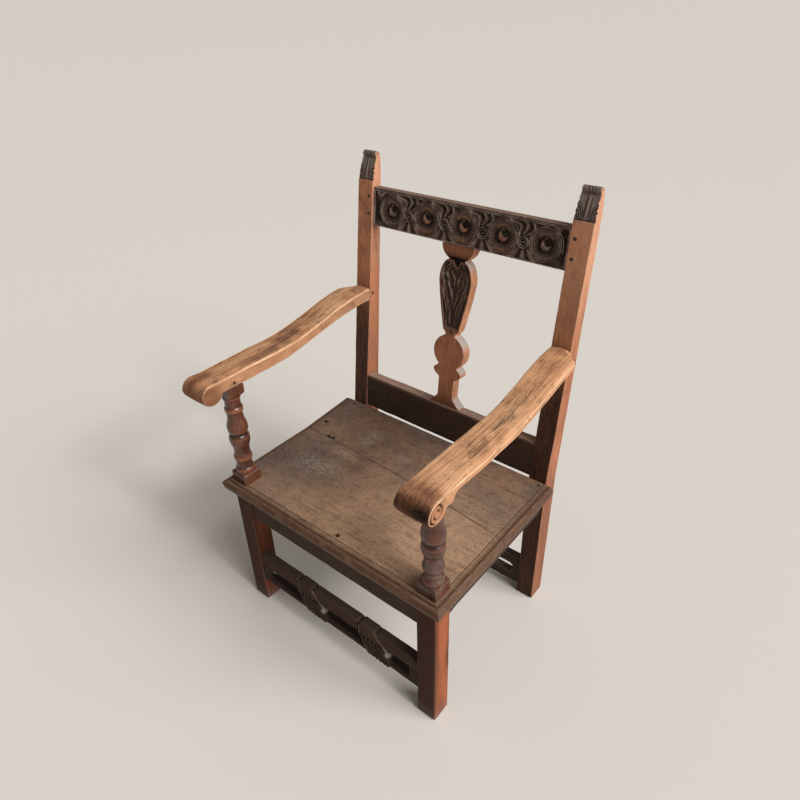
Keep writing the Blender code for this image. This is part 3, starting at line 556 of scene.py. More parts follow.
@dataclass(frozen=True)
class WoodFinish:
    """Old waxed wood: streaked, stained, cracked along the grain, and rubbed where it is handled. Where the
    pieces' marks hold them, it also paints shade, warm light, highlights and a reflection.
    """

    name: str
    grain: Grain
    pale: Colour
    deep: Colour
    stain_and_shade: Colour
    warm: Colour
    # The worn colour also paints highlights, the stain and grime colours also paint shade, and the dust
    # colour also paints a reflection.
    worn: Colour
    grime_and_shade: Colour = (0.01, 0.006, 0.004)
    dust: Colour = (0.36, 0.33, 0.3)
    streaks: float = 160.0
    along: float = 0.07
    rise: float = 1.0
    streaking: float = 0.85
    blotches: float = 0.5
    blotch_size: float = 22.0
    cracks: float = 0.3
    crack_count: float = 60.0
    hairs: float = 0.0
    rough: float = 0.45
    coat: float = 0.12
    polish: float = 0.14
    shine: float = 0.06
    relief: float = 0.0006
    long: float = 0.36  # of a crack's stretch along the grain, to that of a streak
    hair_share: float = 2.6  # of the hairs' count to that of the cracks
    net_count: float = 125.0
    net_along: float = 0.55
    net_patches: float = 34.0
    coat_bend: float = 1.52  # the wax's index of refraction

    def lines(self, graph: Graph, fibre: Socket, count: float, more: Value | float) -> Value:
        """Thin lines along the grain that come and go, and do so less where there is more."""
        shape = {"wave_type": "BANDS", "bands_direction": "DIAGONAL", "wave_profile": "SIN"}
        sockets = {"Vector": fibre, "Scale": count, "Distortion": 9.0, "Detail": 3.0, "Detail Scale": 1.3}
        wave = Value(graph, graph.node("ShaderNodeTexWave", shape, sockets).outputs["Fac"])
        patch = graph.noise(graph.place(), self.blotch_size, 3.0) + more
        return wave.between(0.93, 0.995) * patch.between(0.42, 0.62)

    def net(self, graph: Graph, scuff: Value, dark: Value) -> Value:
        """Short scratches that cross each other, most of them where the wood is soiled."""
        sockets = {"Vector": graph.stretched(self.grain, self.net_along), "Scale": self.net_count}
        cells = graph.node("ShaderNodeTexVoronoi", {"feature": "DISTANCE_TO_EDGE"}, sockets)
        edge = Value(graph, cells.outputs["Distance"]) + 0.1 * (scuff - 0.5)
        patch = graph.noise(graph.place(), self.net_patches) + 0.25 * dark
        return (1 - edge.between(0.02, 0.06)) * patch.between(0.5, 0.66)

    def material(self) -> Material:
        """Builds the material.

        Returns:
            The material, which reads all the marks.
        """
        graph = Graph(self.name)
        place = graph.place()
        fibre = graph.stretched(self.grain, self.along, self.rise)
        long_fibre = graph.stretched(self.grain, self.along * self.long, self.rise)
        streak = graph.noise(fibre, self.streaks, 5.0, 0.35)
        fine = graph.noise(fibre, self.streaks * 4.5, 3.0)
        broad = graph.noise(fibre, self.streaks * 0.16, 3.0, 0.5)
        cloud = graph.noise(place, self.blotch_size, 4.0, 0.6)
        scuff = graph.noise(place, self.blotch_size * 9.0, 3.0)
        dark, warm, wear, hollow, dust, gloss, sound = (graph.mark(word) for word in MARKS)

        tone = streak.between(0.34, 0.66) * 0.65 + broad.between(0.3, 0.7) * 0.35
        stain_and_shade = graph.mix(streak.between(0.3, 0.7) * 0.4, self.stain_and_shade, self.deep)
        rubbed_and_lit = (wear * (0.35 + 1.3 * scuff) * (0.55 + 0.9 * cloud)).least(1.0)
        crack = self.lines(graph, long_fibre, self.crack_count, 0.0) * self.cracks
        if self.hairs:
            hairs = self.lines(graph, long_fibre, self.crack_count * self.hair_share, 0.3 * dark) * self.hairs
            crack = crack.most(hairs).most(self.net(graph, scuff, dark) * self.hairs * 0.85)
        crack = crack * (1 - sound)
        # Besides stains, wear, grime and dust, these layers paint the shade, warm light, highlights and
        # reflection that the pieces' marks hold.
        layers = [
            (fine.between(0.5, 0.72) * 0.35, self.deep),
            (cloud.between(0.52, 0.74) * self.blotches, self.stain_and_shade),
            ((dark * (0.75 + 0.5 * scuff)).least(1.0), stain_and_shade),
            ((warm * (0.5 + scuff)).least(1.0), self.warm),
            (rubbed_and_lit * 0.85, self.worn),
            (crack, self.grime_and_shade),
            ((hollow * (0.7 + 0.5 * scuff)).least(1.0), self.grime_and_shade),
            ((dust * (0.5 + scuff)).least(1.0), self.dust),
        ]
        inputs = {
            "Base Color": graph.layered(graph.mix(tone * self.streaking, self.pale, self.deep), layers),
            "Roughness": self.rough + 0.22 * (scuff - 0.5) + 0.1 * tone + 0.15 * crack + 0.12 * hollow,
            "Specular IOR Level": self.shine,
            "Coat Weight": self.coat * gloss,
            "Coat Roughness": self.polish,
            "Coat IOR": self.coat_bend,
        }
        graph.surface(inputs)
        height = 0.35 * streak + 0.2 * fine + 0.35 * scuff - 1.1 * crack
        graph.bump(height, 0.55, self.relief)
        return graph.material


@dataclass(frozen=True)
class SeatFinish:
    """The seat's worn planks: cloudy grey and brown, speckled, with pale scuffs and fine cracks."""

    name: str = "seat_planks"
    brown: Colour = (0.28, 0.16, 0.098)
    grey: Colour = (0.168, 0.116, 0.09)
    tan: Colour = (0.47, 0.29, 0.175)
    deep: Colour = (0.058, 0.035, 0.024)
    pale: Colour = (0.4, 0.325, 0.25)
    worn: Colour = (0.3, 0.195, 0.122)
    edge: Colour = (0.092, 0.045, 0.026)
    grime_and_shade: Colour = (0.01, 0.008, 0.006)
    shine: float = 0.12
    relief: float = 0.0007
    sunny: tuple[Four, ...] = ((0.2, -0.12, 0.36, 0.26), (0.04, -0.22, 0.42, 0.16))
    shady: tuple[Four, ...] = ((-0.3, 0.12, 0.34, 0.24), (-0.34, -0.1, 0.26, 0.24))
    scuffed: tuple[Four, ...] = (
        (-0.16, -0.075, 0.115, 0.055),
        (-0.14, 0.082, 0.04, 0.055),
        (-0.02, 0.064, 0.03, 0.028),
        (-0.15, -0.005, 0.07, 0.03),
        (0.1, -0.02, 0.075, 0.04),
    )

    def patch(self, graph: Graph, oval: Four) -> Value:
        """How far inside an oval patch of the seat a place is.

        Args:
            graph: The material's nodes.
            oval: The patch's middle across and from front to back, and its half width and half depth.

        Returns:
            1 at the middle and 0 outside.
        """
        x, y, wide, deep = oval
        sockets = {
            "Vector": graph.place(),
            "Location": (-x / wide, -y / deep, 0.0),
            "Scale": (1.0 / wide, 1.0 / deep, 0.0),
        }
        moved = graph.node("ShaderNodeMapping", None, sockets).outputs[0]
        length = graph.node("ShaderNodeVectorMath", {"operation": "LENGTH"}, {0: moved}).outputs["Value"]
        return 1 - Value(graph, length).between(0.15, 1.0)

    def patches(self, graph: Graph, ovals: tuple[Four, ...]) -> Value:
        """How far inside the nearest of several patches a place is."""
        found = self.patch(graph, ovals[0])
        for oval in ovals[1:]:
            found = found.most(self.patch(graph, oval))
        return found

    def material(self) -> Material:
        """Builds the material.

        Returns:
            The material, which reads the marks dark, wear and hollow.
        """
        graph = Graph(self.name)
        place = graph.place()
        fibre = graph.stretched(Grain.ACROSS, 0.08)
        streak = graph.noise(fibre, 120.0, 5.0, 0.5)
        fine = graph.noise(fibre, 700.0, 3.0)
        cloud = graph.noise(place, 7.0, 5.0, 0.7)
        blot = graph.noise(place, 44.0, 6.0, 0.2)
        speck = graph.noise(place, 330.0, 4.0)
        fleck = graph.noise(graph.stretched(Grain.ACROSS, 0.45), 420.0, 5.0, 0.3)
        dark, wear, hollow = (graph.mark(word) for word in ("dark", "wear", "hollow"))
        gloom = graph.noise(place, 8.0, 6.0, 0.5)
        scuffs = self.patches(graph, self.scuffed)
        scratch = 1 - abs(graph.noise(place, 60.0, 2.0, 1.2) - 0.5).between(0.0, 0.01)
        threads = graph.noise(graph.stretched(Grain.ACROSS, 0.03), 70.0, 2.0, 0.2)
        line = 1 - abs(threads - 0.5).between(0.0, 0.016)
        crack = line * graph.noise(place, 16.0, 2.0).between(0.52, 0.68) * 0.55
        layers = [
            (self.patches(graph, self.sunny) * (0.45 + 0.9 * blot), self.tan),
            (gloom.between(0.46, 0.72) * 0.36, self.deep),
            (self.patches(graph, self.shady) * 0.35, self.deep),
            (streak.between(0.48, 0.74) * 0.4, self.deep),
            (fine.between(0.5, 0.75) * 0.42, self.deep),
            (blot.between(0.46, 0.74) * 0.45, self.deep),
            (speck.between(0.5, 0.64) * 0.42, self.deep),
            (scuffs * (0.04 + 0.55 * fleck.between(0.44, 0.66)), self.pale),
            (fleck.between(0.56, 0.7) * 0.36, self.pale),
            (scratch * fleck.between(0.4, 0.6) * 0.4, self.pale),
            ((dark * (0.7 + 0.6 * speck)).least(1.0), self.edge),
            ((wear * (0.2 + 1.5 * speck)).least(1.0) * 0.8, self.worn),
            (crack, self.grime_and_shade),
            ((hollow * (0.8 + 0.4 * speck)).least(1.0), self.grime_and_shade),
        ]
        inputs = {
            "Base Color": graph.layered(graph.mix(cloud.between(0.36, 0.64), self.brown, self.grey), layers),
            "Roughness": 0.46 + 0.26 * (speck - 0.5) + 0.12 * streak + 0.1 * scuffs,
            "Specular IOR Level": self.shine,
        }
        graph.surface(inputs)
        height = 0.35 * streak + 0.25 * fine + 0.45 * speck - crack
        graph.bump(height, 0.6, self.relief)
        return graph.material


@dataclass(frozen=True)
class SpeckFinish:
    """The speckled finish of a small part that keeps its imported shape."""

    name: str
    ground: Colour
    specks: Colour
    count: float
    detail: float
    edge: Pair
    rough: float
    relief: float
    metal: float = 0.0
    rough_spread: float = 0.3
    speck_metal: float = 0.6  # how much less of a metal the specks are
    bump: float = 0.5

    def material(self) -> Material:
        """Builds the material.

        Returns:
            The material, which reads no marks.
        """
        graph = Graph(self.name)
        noise = graph.noise(graph.place(), self.count, self.detail)
        specks = noise.between(*self.edge)
        inputs = {
            "Base Color": graph.mix(specks, self.ground, self.specks),
            "Roughness": self.rough + self.rough_spread * noise,
        }
        if self.metal:
            inputs["Metallic"] = self.metal - self.speck_metal * specks
        graph.surface(inputs)
        graph.bump(noise, self.bump, self.relief)
        return graph.material


PEG = SpeckFinish(
    name="peg_ends",
    ground=(0.055, 0.028, 0.017),
    specks=(0.014, 0.008, 0.006),
    count=900.0,
    detail=3.0,
    edge=(0.35, 0.65),
    rough=0.5,
    relief=0.0004,
)
IRON = SpeckFinish(
    name="nail_heads",
    ground=(0.09, 0.08, 0.075),
    specks=(0.07, 0.032, 0.018),
    count=700.0,
    detail=4.0,
    edge=(0.4, 0.6),
    rough=0.4,
    relief=0.0003,
    metal=0.9,
    bump=0.4,
)
BROWN = WoodFinish(
    name="brown_upright",
    grain=Grain.UPRIGHT,
    pale=(0.56, 0.245, 0.128),
    deep=(0.265, 0.103, 0.053),
    stain_and_shade=(0.052, 0.028, 0.019),
    warm=(0.3, 0.105, 0.055),
    worn=(0.6, 0.315, 0.195),
    blotches=0.4,
    cracks=0.35,
    hairs=0.25,
)
HONEY = WoodFinish(
    name="honey_arm",
    grain=Grain.DEEP,
    pale=(0.77, 0.404, 0.212),
    deep=(0.46, 0.216, 0.107),
    stain_and_shade=(0.105, 0.05, 0.031),
    warm=(0.42, 0.16, 0.075),
    worn=(0.82, 0.53, 0.32),
    streaks=190.0,
    along=0.055,
    rise=0.18,
    blotches=0.55,
    cracks=0.4,
    crack_count=50.0,
    hairs=0.55,
    relief=0.001,
)
CARVED = WoodFinish(
    name="dark_carved",
    grain=Grain.ACROSS,
    pale=(0.158, 0.114, 0.094),
    deep=(0.07, 0.05, 0.041),
    stain_and_shade=(0.034, 0.0228, 0.0172),
    warm=(0.235, 0.098, 0.05),
    worn=(0.4, 0.315, 0.258),
    cracks=0.3,
    rough=0.46,
    coat=0.2,
    shine=0.04,
    relief=0.0004,
)
TURNED = WoodFinish(
    name="turned_post",
    grain=Grain.UPRIGHT,
    pale=(0.2, 0.062, 0.029),
    deep=(0.06, 0.02, 0.011),
    stain_and_shade=(0.04, 0.0135, 0.0075),
    warm=(0.34, 0.098, 0.038),
    worn=(0.15, 0.116, 0.096),
    blotches=0.35,
    cracks=0.3,
    rough=0.38,
    coat=0.8,
    polish=0.24,
    shine=0.04,
)


@dataclass
class BackPost:
    """A rear leg and leaning upright in one timber, with a carved leaf at its top."""

    side: Side
    places: Places
    section: Section = Section((14, 10, 14, 56))
    depth: float = 0.048
    top_depth: float = 0.029
    easing: float = 0.0018
    foot_round: float = 0.0012
    foot_height: float = 0.003
    finial: float = 0.062
    step: float = 0.0015
    step_rise: float = 0.0008
    sweep: float = 0.0125
    sweep_end: float = 0.7  # below the roll's middle, as a share of its radius
    roll: float = 0.0065
    roll_set: float = 0.4  # of the roll's middle behind the swept face, as a share of its radius
    drop: float = 0.01
    drop_end: float = 0.235  # below the top, as a share of the roll's radius
    taper: float = 0.0035
    cut: float = 0.0016
    cut_start: float = 0.001
    lobe_wide: float = 0.017
    lobe_high: float = 0.031
    lobe_edge: float = 1.12
    lobe_lines: float = 4.2
    vein: float = 0.0022
    vein_run: Four = (0.006, 0.016, 0.04, 0.05)
    groove: Pair = (0.0045, 0.0028)
    groove_run: Four = (0.004, 0.012, 0.036, 0.05)
    dish: Pair = (0.011, 0.01)
    dish_run: Four = (0.026, 0.036, 0.046, 0.054)
    notches: Trio = (-0.0055, 0.0005, 0.006)
    notch: float = 0.0017
    notch_rise: Pair = (-0.015, -0.012)  # from the top
    lip: Pair = (0.0022, 0.0012)
    scallop: float = 0.0016
    scallops: float = 2.6
    scallop_run: Four = (0.001, 0.004, 0.036, 0.044)
    scallop_from: float = 0.015
    worn: float = 0.0005
    worn_cell: float = 0.035
    front_shade: Pair = (0.6, 0.8)  # painted shade on the fronts below the arms: the heights over which it ends
    low_shade: Pair = (-0.1, 0.12)  # painted shade on every face below the seat: the same, from the seat's top
    # Heights of painted shade on the lower side that faces +X and on the front below the arm, and from which
    # the top gets painted highlights.
    lit_side_shade: Pair = (0.56, 0.66)
    grime_and_shade: Pair = (0.52, 0.72)
    sun: Pair = (0.7, 0.92)
    crown: Pair = (-0.009, -0.006)  # from the top

    @property
    def foot(self) -> float:
        """The height of the finial's foot."""
        return self.places.top - self.finial

    @property
    def scroll(self) -> Pair:
        """The middle of the roll at the top, from front to back and up."""
        z = self.places.top - self.roll
        return self.places.back_front(z) + self.step + self.sweep + self.roll * self.roll_set, z

    def curl(self, z: Array, sign: int) -> Array:
        """Where the roll's front, with sign -1, or its rear, with sign 1, is at these heights."""
        roll_y, roll_z = self.scroll
        off = np.clip((z - roll_z) / self.roll, -1.0, 1.0)
        return roll_y + sign * self.roll * np.sqrt(1 - off * off)

    def front(self, z: Array) -> Array:
        """Where the front face is at these heights, round the roll at the top."""
        roll_z = self.scroll[1]
        share = unit((z - self.foot) / (roll_z - self.roll * self.sweep_end - self.foot))
        proud = (self.step + self.sweep * share * share) * ease(z, self.foot, self.foot + self.step_rise)
        swept = self.places.back_front(z) + proud
        curl = self.curl(z, -1)
        beside = np.where(z > roll_z - self.roll, np.minimum(swept, curl), swept)
        return np.where(z > roll_z, curl, beside)

    def rear(self, z: Array) -> Array:
        """Where the rear face is at these heights."""
        places = self.places
        slope = math.tan(places.rake) - (self.depth - self.top_depth) / (self.foot - places.seat_top)
        plain = places.back_y + self.depth + np.maximum(z - places.seat_top, 0.0) * slope
        curl = self.curl(z, 1)
        fall = unit((z - places.top + self.drop) / (self.drop - self.roll * self.drop_end))
        swept = plain + (curl - plain) * fall
        return np.where(z > self.scroll[1], np.maximum(curl, swept), swept)

    def leaf(self, across: Array, rise: Array) -> tuple[Array, Array]:
        """The carving of the finial's face.

        Args:
            across: Place across the face, from the middle.
            rise: Height above the finial's foot.

        Returns:
            How deep the face is cut, and how far it is into a hollow.
        """
        half = (self.places.half_width - self.places.post_inner) / 2
        away = np.abs(across)
        lobes = np.hypot((half - away) / self.lobe_wide, rise / self.lobe_high)
        waves = 0.5 - 0.5 * np.cos(lobes * FULL_TURN * self.lobe_lines)
        furrow = fade(lobes, 1.0, self.lobe_edge) * waves**0.8
        vein = bead(across, 0.0, self.vein) * stretch(rise, self.vein_run)
        groove = hump(away, *self.groove) * stretch(rise, self.groove_run)
        dish = hump(away, *self.dish) * stretch(rise, self.dish_run)
        notches = most(*(hump(across, middle, self.notch) for middle in self.notches))
        notches = notches * ease(rise - self.finial, *self.notch_rise)
        lip = hump(rise, *self.lip)
        deep = furrow + 0.7 * groove + 0.72 * dish - 0.7 * vein + 1.2 * notches + 0.7 * lip
        hollow = unit(0.85 * furrow + 0.6 * groove + 0.9 * notches + 0.7 * lip)
        return self.cut * deep, hollow

    def heights(self) -> Array:
        """Heights of the rings, closer together on the finial and round its roll."""
        seat_top = self.places.seat_top
        roll_z = self.scroll[1]
        turn = np.radians(np.linspace(-70, 90, 22))
        parts = (
            np.array([0.0, self.foot_height * 0.4, self.foot_height]),
            np.linspace(0.01, seat_top, 40),
            np.linspace(seat_top + 0.008, self.foot - 0.0005, 60),
            np.linspace(self.foot, roll_z - self.roll * 0.97, 64),
            roll_z + self.roll * np.sin(turn),
        )
        return np.concatenate(parts)[:, None]

    def shape(self) -> tuple[Array, Array, Array, Array]:
        """The post's places.

        Returns:
            The points, their heights before wear, how far each is on the finial, and how far it is in a
            hollow of its leaf.
        """
        section = self.section
        z = self.heights()
        share = unit((z - self.foot) / self.finial)
        rounding = self.foot_round * fade(z, 0.0, self.foot_height)
        inset = self.taper * share * share + rounding
        ends = (self.places.post_inner, self.places.half_width)
        left, right = sorted(self.side.value * end for end in ends)
        front_to_back = (self.front(z) + rounding, self.rear(z))
        x, y = section.place((left + inset, right - inset), front_to_back, self.easing)
        z = np.broadcast_to(z, x.shape)
        above = z - self.foot
        in_leaf = ease(above, 0.0, self.cut_start)
        off_middle = x - (left + right) / 2
        deep, hollow = self.leaf(off_middle, above)
        shallow = 1 - 0.6 * ease(z, self.scroll[1], self.places.top)
        y = y + deep * section.face(Way.NEAR_SECOND, 2) * in_leaf * shallow
        near = unit(-section.rim.rise) * stretch(above, self.scallop_run)
        tips = np.abs(np.sin(above / self.lobe_high * math.pi * self.scallops))
        outer = np.abs(off_middle) > self.scallop_from
        x = x - np.sign(off_middle) * self.scallop * near * (1 - tips) * outer
        points = np.stack((x, y, z), axis=-1)
        worn = stirred(points, self.worn, self.worn_cell, 11 + self.side.value)
        crisp = (in_leaf > 0.5) | (z <= self.foot_height)
        return np.where(crisp[..., None], points, worn), z, in_leaf, hollow

    def build(self) -> Piece:
        """Builds the post.

        Returns:
            The new piece.
        """
        points, z, in_leaf, hollow = self.shape()
        edge = self.section.rim.edge
        front = self.section.facing(Way.NEAR_SECOND)
        lit = self.section.facing(Way.FAR_FIRST)
        fine = mottle(points, (0.02, 0.02, 0.06), 15)
        broad = mottle(points, (0.03, 0.03, 0.15), 17)
        # Painted shade: the fronts below the arms, every face below the seat, and the lower side that faces
        # +X, most on the left post.
        low_front = front * fade(z, *self.front_shade)
        low_side = (0.5 + 0.5 * broad) * fade(z - self.places.seat_top, *self.low_shade)
        leaf_dark = in_leaf * self.section.facing(Way.NEAR_SECOND, 0.2, 0.8)
        crown_dark = ease(z - self.places.top, *self.crown)
        blotched = 0.22 * front * ease(broad, 0.45, 0.75)
        shaded_lit_side = self.side.pick(0.42, 0.12) * lit * fade(z, *self.lit_side_shade) * (0.6 + 0.6 * fine)
        # Painted light on the side that faces +X, pale towards the top and warm below; mostly on the right
        # post, the front gets a painted highlight at the top and painted shade below the arm.
        upper = ease(z, *self.sun)
        sunny = self.side.pick(0.08, 0.55)
        wear = edge * (0.25 + 0.6 * fine) * (1 - 0.6 * in_leaf) + 0.75 * lit * upper * (0.4 + 0.7 * broad)
        wear = wear + sunny * front * upper * (1 - in_leaf) * (0.4 + 0.8 * broad)
        ridge = in_leaf * front * unit(0.55 - hollow)
        marks = {
            "dark": most(low_front, low_side, leaf_dark, crown_dark, blotched, shaded_lit_side),
            "warm": unit(0.45 * edge * fine + 0.75 * lit * (1 - upper) * (0.4 + 0.6 * broad)),
            "wear": unit(wear),
            "hollow": most(hollow * in_leaf * front, 0.6 * sunny * front * fade(z, *self.grime_and_shade)),
            "dust": unit(0.42 * ridge + 0.1 * leaf_dark),
        }
        return rolled("upright_" + self.side.word, points, marks)


@dataclass
class CrestRail:
    """The crest rail with its row of carved paterae, roundels and leaves.

    The sizes of a patera and of a roundel's rings are shares of their radius, and pairs of them are the
    middle and the half width of a ridge.
    """

    places: Places
    section: Section = Section((6, 6, 124, 6))
    bottom: float = 0.49115
    height: float = 0.0885
    thickness: float = 0.024
    inset: float = 0.0033
    easing: float = 0.0022
    sunk: float = 0.0056
    fillet: float = 0.0085
    foot: float = 0.0025
    end: float = 0.0045
    border: float = 0.0012
    fillet_lines: tuple[Pair, Pair] = ((0.002, 0.0011), (0.0055, 0.001))  # above the fillet's foot
    hatch_pitch: float = 0.0036
    chisel_cell: float = 0.0032
    uneven: float = 0.0004
    count: int = 5
    shift: float = 0.0035
    pitch: float = 0.0988
    radius: float = 0.036
    patera_edge: float = 1.008
    outer_ring: Pair = (0.972, 0.036)
    inner_ring: Pair = (0.868, 0.034)
    well: float = 0.9
    flutes: int = 26
    flute_run: Four = (0.4, 0.52, 0.8, 0.84)
    flute_tip: Pair = (0.765, 0.085)
    dish_rise: Pair = (0.36, 0.84)
    arch: Pair = (0.62, 0.16)
    arch_stripes: int = 44
    boss: float = 0.34
    boss_drop: float = 0.02
    eye: float = 0.235
    eye_at: Pair = (0.095, 0.125)
    tail: float = 0.16
    tail_at: Pair = (-0.02, 0.33)
    strap: Pair = (1.1, 0.036)
    roundel: float = 0.0128
    roundel_drop: float = 0.004
    roundel_edge: float = 1.04
    roundel_rings: tuple[Pair, Pair, Pair] = ((0.92, 0.12), (0.58, 0.11), (0.0, 0.24))
    blades: float = 12.0
    lobes: float = 9.0
    columns: int = 600

    def patera(self, across: Array, rise: Array) -> tuple[Array, Array]:
        """One patera: two thin rings, a fluted dish, a striped arch and a hollow-eyed boss.

        Args:
            across: Places across, from its middle.
            rise: Places up, from its middle.

        Returns:
            The height of the carving and how much it is rubbed to the red of the wood.
        """
        right = across / self.radius
        up = rise / self.radius
        reach = np.hypot(right, up)
        angle = np.arctan2(rise, across)
        rings = most(bead(reach, *self.outer_ring), 0.92 * bead(reach, *self.inner_ring))
        ray = (0.5 + 0.5 * np.cos(angle * self.flutes)) ** 2
        lower = 1 - 0.85 * ease(np.sin(angle), -0.15, 0.55)
        fluted = 0.3 * stretch(reach, self.flute_run) * (ray - 0.25)
        fluted = fluted + 0.2 * bead(reach, *self.flute_tip) * ray
        dish = 0.04 + 0.42 * ease(reach, *self.dish_rise) + lower * fluted
        stripes = 0.8 + 0.2 * np.cos(angle * self.arch_stripes)
        arch = 0.85 * bead(reach, *self.arch) * ease(np.sin(angle), 0.5, 0.72) * stripes
        pinch = np.hypot(right * 1.05, up + self.boss_drop)
        eye = np.hypot(right - self.eye_at[0], up - self.eye_at[1])
        boss = 1.12 * bead(pinch, 0.0, self.boss) - 1.45 * bead(eye, 0.0, self.eye)
        tail = 0.75 * hump(np.hypot(right - self.tail_at[0], up - self.tail_at[1]), 0.0, self.tail)
        inside = np.where(pinch < self.boss, np.maximum(boss, 0.0), most(dish, arch, tail))
        height = np.maximum(rings, np.where(reach < self.well, inside, 0.3))
        red = ease(boss, 0.3, 0.75) * (pinch < self.boss) + 0.75 * ease(arch, 0.45, 0.75)
        red = red + 0.75 * ease(-np.sin(angle), 0.55, 0.95) * ease(reach, 0.72, 0.8)
        return height, unit(red)

    def spray(self, across: Array, rise: Array) -> Array:
        """A roundel between two paterae with its sprays of leaves.

        Args:
            across: Places across, from its middle.
            rise: Places up, from its middle.

        Returns:
            The height of the carving.
        """
        reach = np.hypot(across, rise) / self.roundel
        shares = (1.0, 0.88, 0.95)
        rings = most(*(share * bead(reach, *ring) for share, ring in zip(shares, self.roundel_rings)))
        turn = np.arctan2(across, np.abs(rise) + 0.0001)
        bent = turn + 0.18 * np.sin(reach * 1.9)
        blade = (0.5 + 0.5 * np.cos(bent * self.blades)) ** 1.5
        lobe = (0.5 + 0.5 * np.cos(turn * self.lobes)) ** 0.9
        leaves = 0.08 + np.where(rise > 0, 0.78 * blade, 0.74 * lobe)
        leaves = leaves * ease(reach, 1.05, 1.25) * fade(np.abs(turn), 1.15, 1.4)
        return np.maximum(rings, leaves)

    def carve(self, x: Array, v: Array) -> tuple[Array, Array]:
        """The carved face.

        Args:
            x: Places across the rail.
            v: Places up the rail, from its bottom.

        Returns:
            Heights above the sunk ground as shares of its depth, and how red they are rubbed.
        """
        field_half = self.places.post_inner - self.end
        field_top = self.height - self.fillet
        rise = v - (self.foot + field_top) / 2
        spread = (self.count - 1) / 2
        number = np.clip(np.rint((x - self.shift) / self.pitch), -spread, spread)
        across = x - self.shift - number * self.pitch
        patera, red = self.patera(across, rise)
        reach = np.hypot(across, rise) / self.radius
        gap = np.clip(np.floor((x - self.shift) / self.pitch) + 0.5, 0.5 - spread, spread - 0.5)
        beside = x - self.shift - gap * self.pitch
        below = rise + self.roundel_drop
        near = np.hypot(beside, below) / self.roundel
        angle = np.arctan2(rise, across)
        turned = most(0.95 * stretch(angle, (-0.45, -0.2, 1.15, 1.35)), 0.6 * ease(angle, 1.9, 2.1))
        strap = bead(reach, *self.strap) * turned * ease(near, 1.0, 1.12)
        hatch = 0.16 * (0.5 + 0.5 * np.cos((x + v) / self.hatch_pitch * FULL_TURN))
        in_patera = (reach < self.patera_edge) & (near > self.roundel_edge)
        height = np.where(in_patera, patera, most(self.spray(beside, below), strap, hatch))
        edge = np.minimum(np.minimum(v - self.foot, field_top - v), field_half - np.abs(x))
        height = np.maximum(height, 0.9 * fade(edge, 0.0, self.border))
        groove = sum(hump(v, field_top + line, half) for line, half in self.fillet_lines)
        middle_three = np.abs(number) < spread
        return height - 0.5 * groove, red * in_patera * (0.15 + 0.85 * middle_three)

    def build(self) -> Piece:
        """Builds the rail.

        Returns:
            The new piece.
        """
        half = self.places.post_inner - CLEARANCE
        section = self.section
        x = np.linspace(-half, half, self.columns)[:, None]
        sides = (self.inset, self.inset + self.thickness)
        depth, up = section.place(sides, (0.0, self.height), self.easing)
        x, depth, up = np.broadcast_arrays(x, depth, up)
        face = section.face(Way.NEAR_FIRST, 4)
        height, red = self.carve(x, up)
        flat = np.stack((x, depth, up), axis=-1)
        chisel = (mottle(flat, self.chisel_cell, 5) - 0.5) * 0.22 * (height < 0.99)
        sunk = self.sunk * (1 - np.clip(height + chisel, -0.25, 1.5))
        depth = depth + face * sunk + self.uneven * (mottle(flat, 0.03, 8) - 0.5)
        points = self.places.lean(x, depth, self.bottom + up)
        fine = mottle(flat, 0.01, 21)
        top = section.facing(Way.FAR_SECOND)
        behind = section.facing(Way.FAR_FIRST)
        ridge = face * ease(height, 0.62, 0.95) * (0.08 + 0.75 * ease(fine, 0.2, 0.8))
        wear = most(ridge, 0.2 * top, section.rim.edge * (0.2 + 0.4 * fine))
        marks = {
            "dark": 0.12 * face + 0.25 * behind + 0.3 * top,
            "warm": unit(face * (red * (0.45 + 0.7 * fine) + 0.18 * fine) + 0.45 * top),
            "wear": unit(wear * (1 - 0.75 * red * face)),
            "hollow": np.clip(face * fade(height, 0.02, 0.5) * (0.6 + 0.6 * fine), 0.0, 0.95),
        }
        return rolled("carved_crest", points, marks)


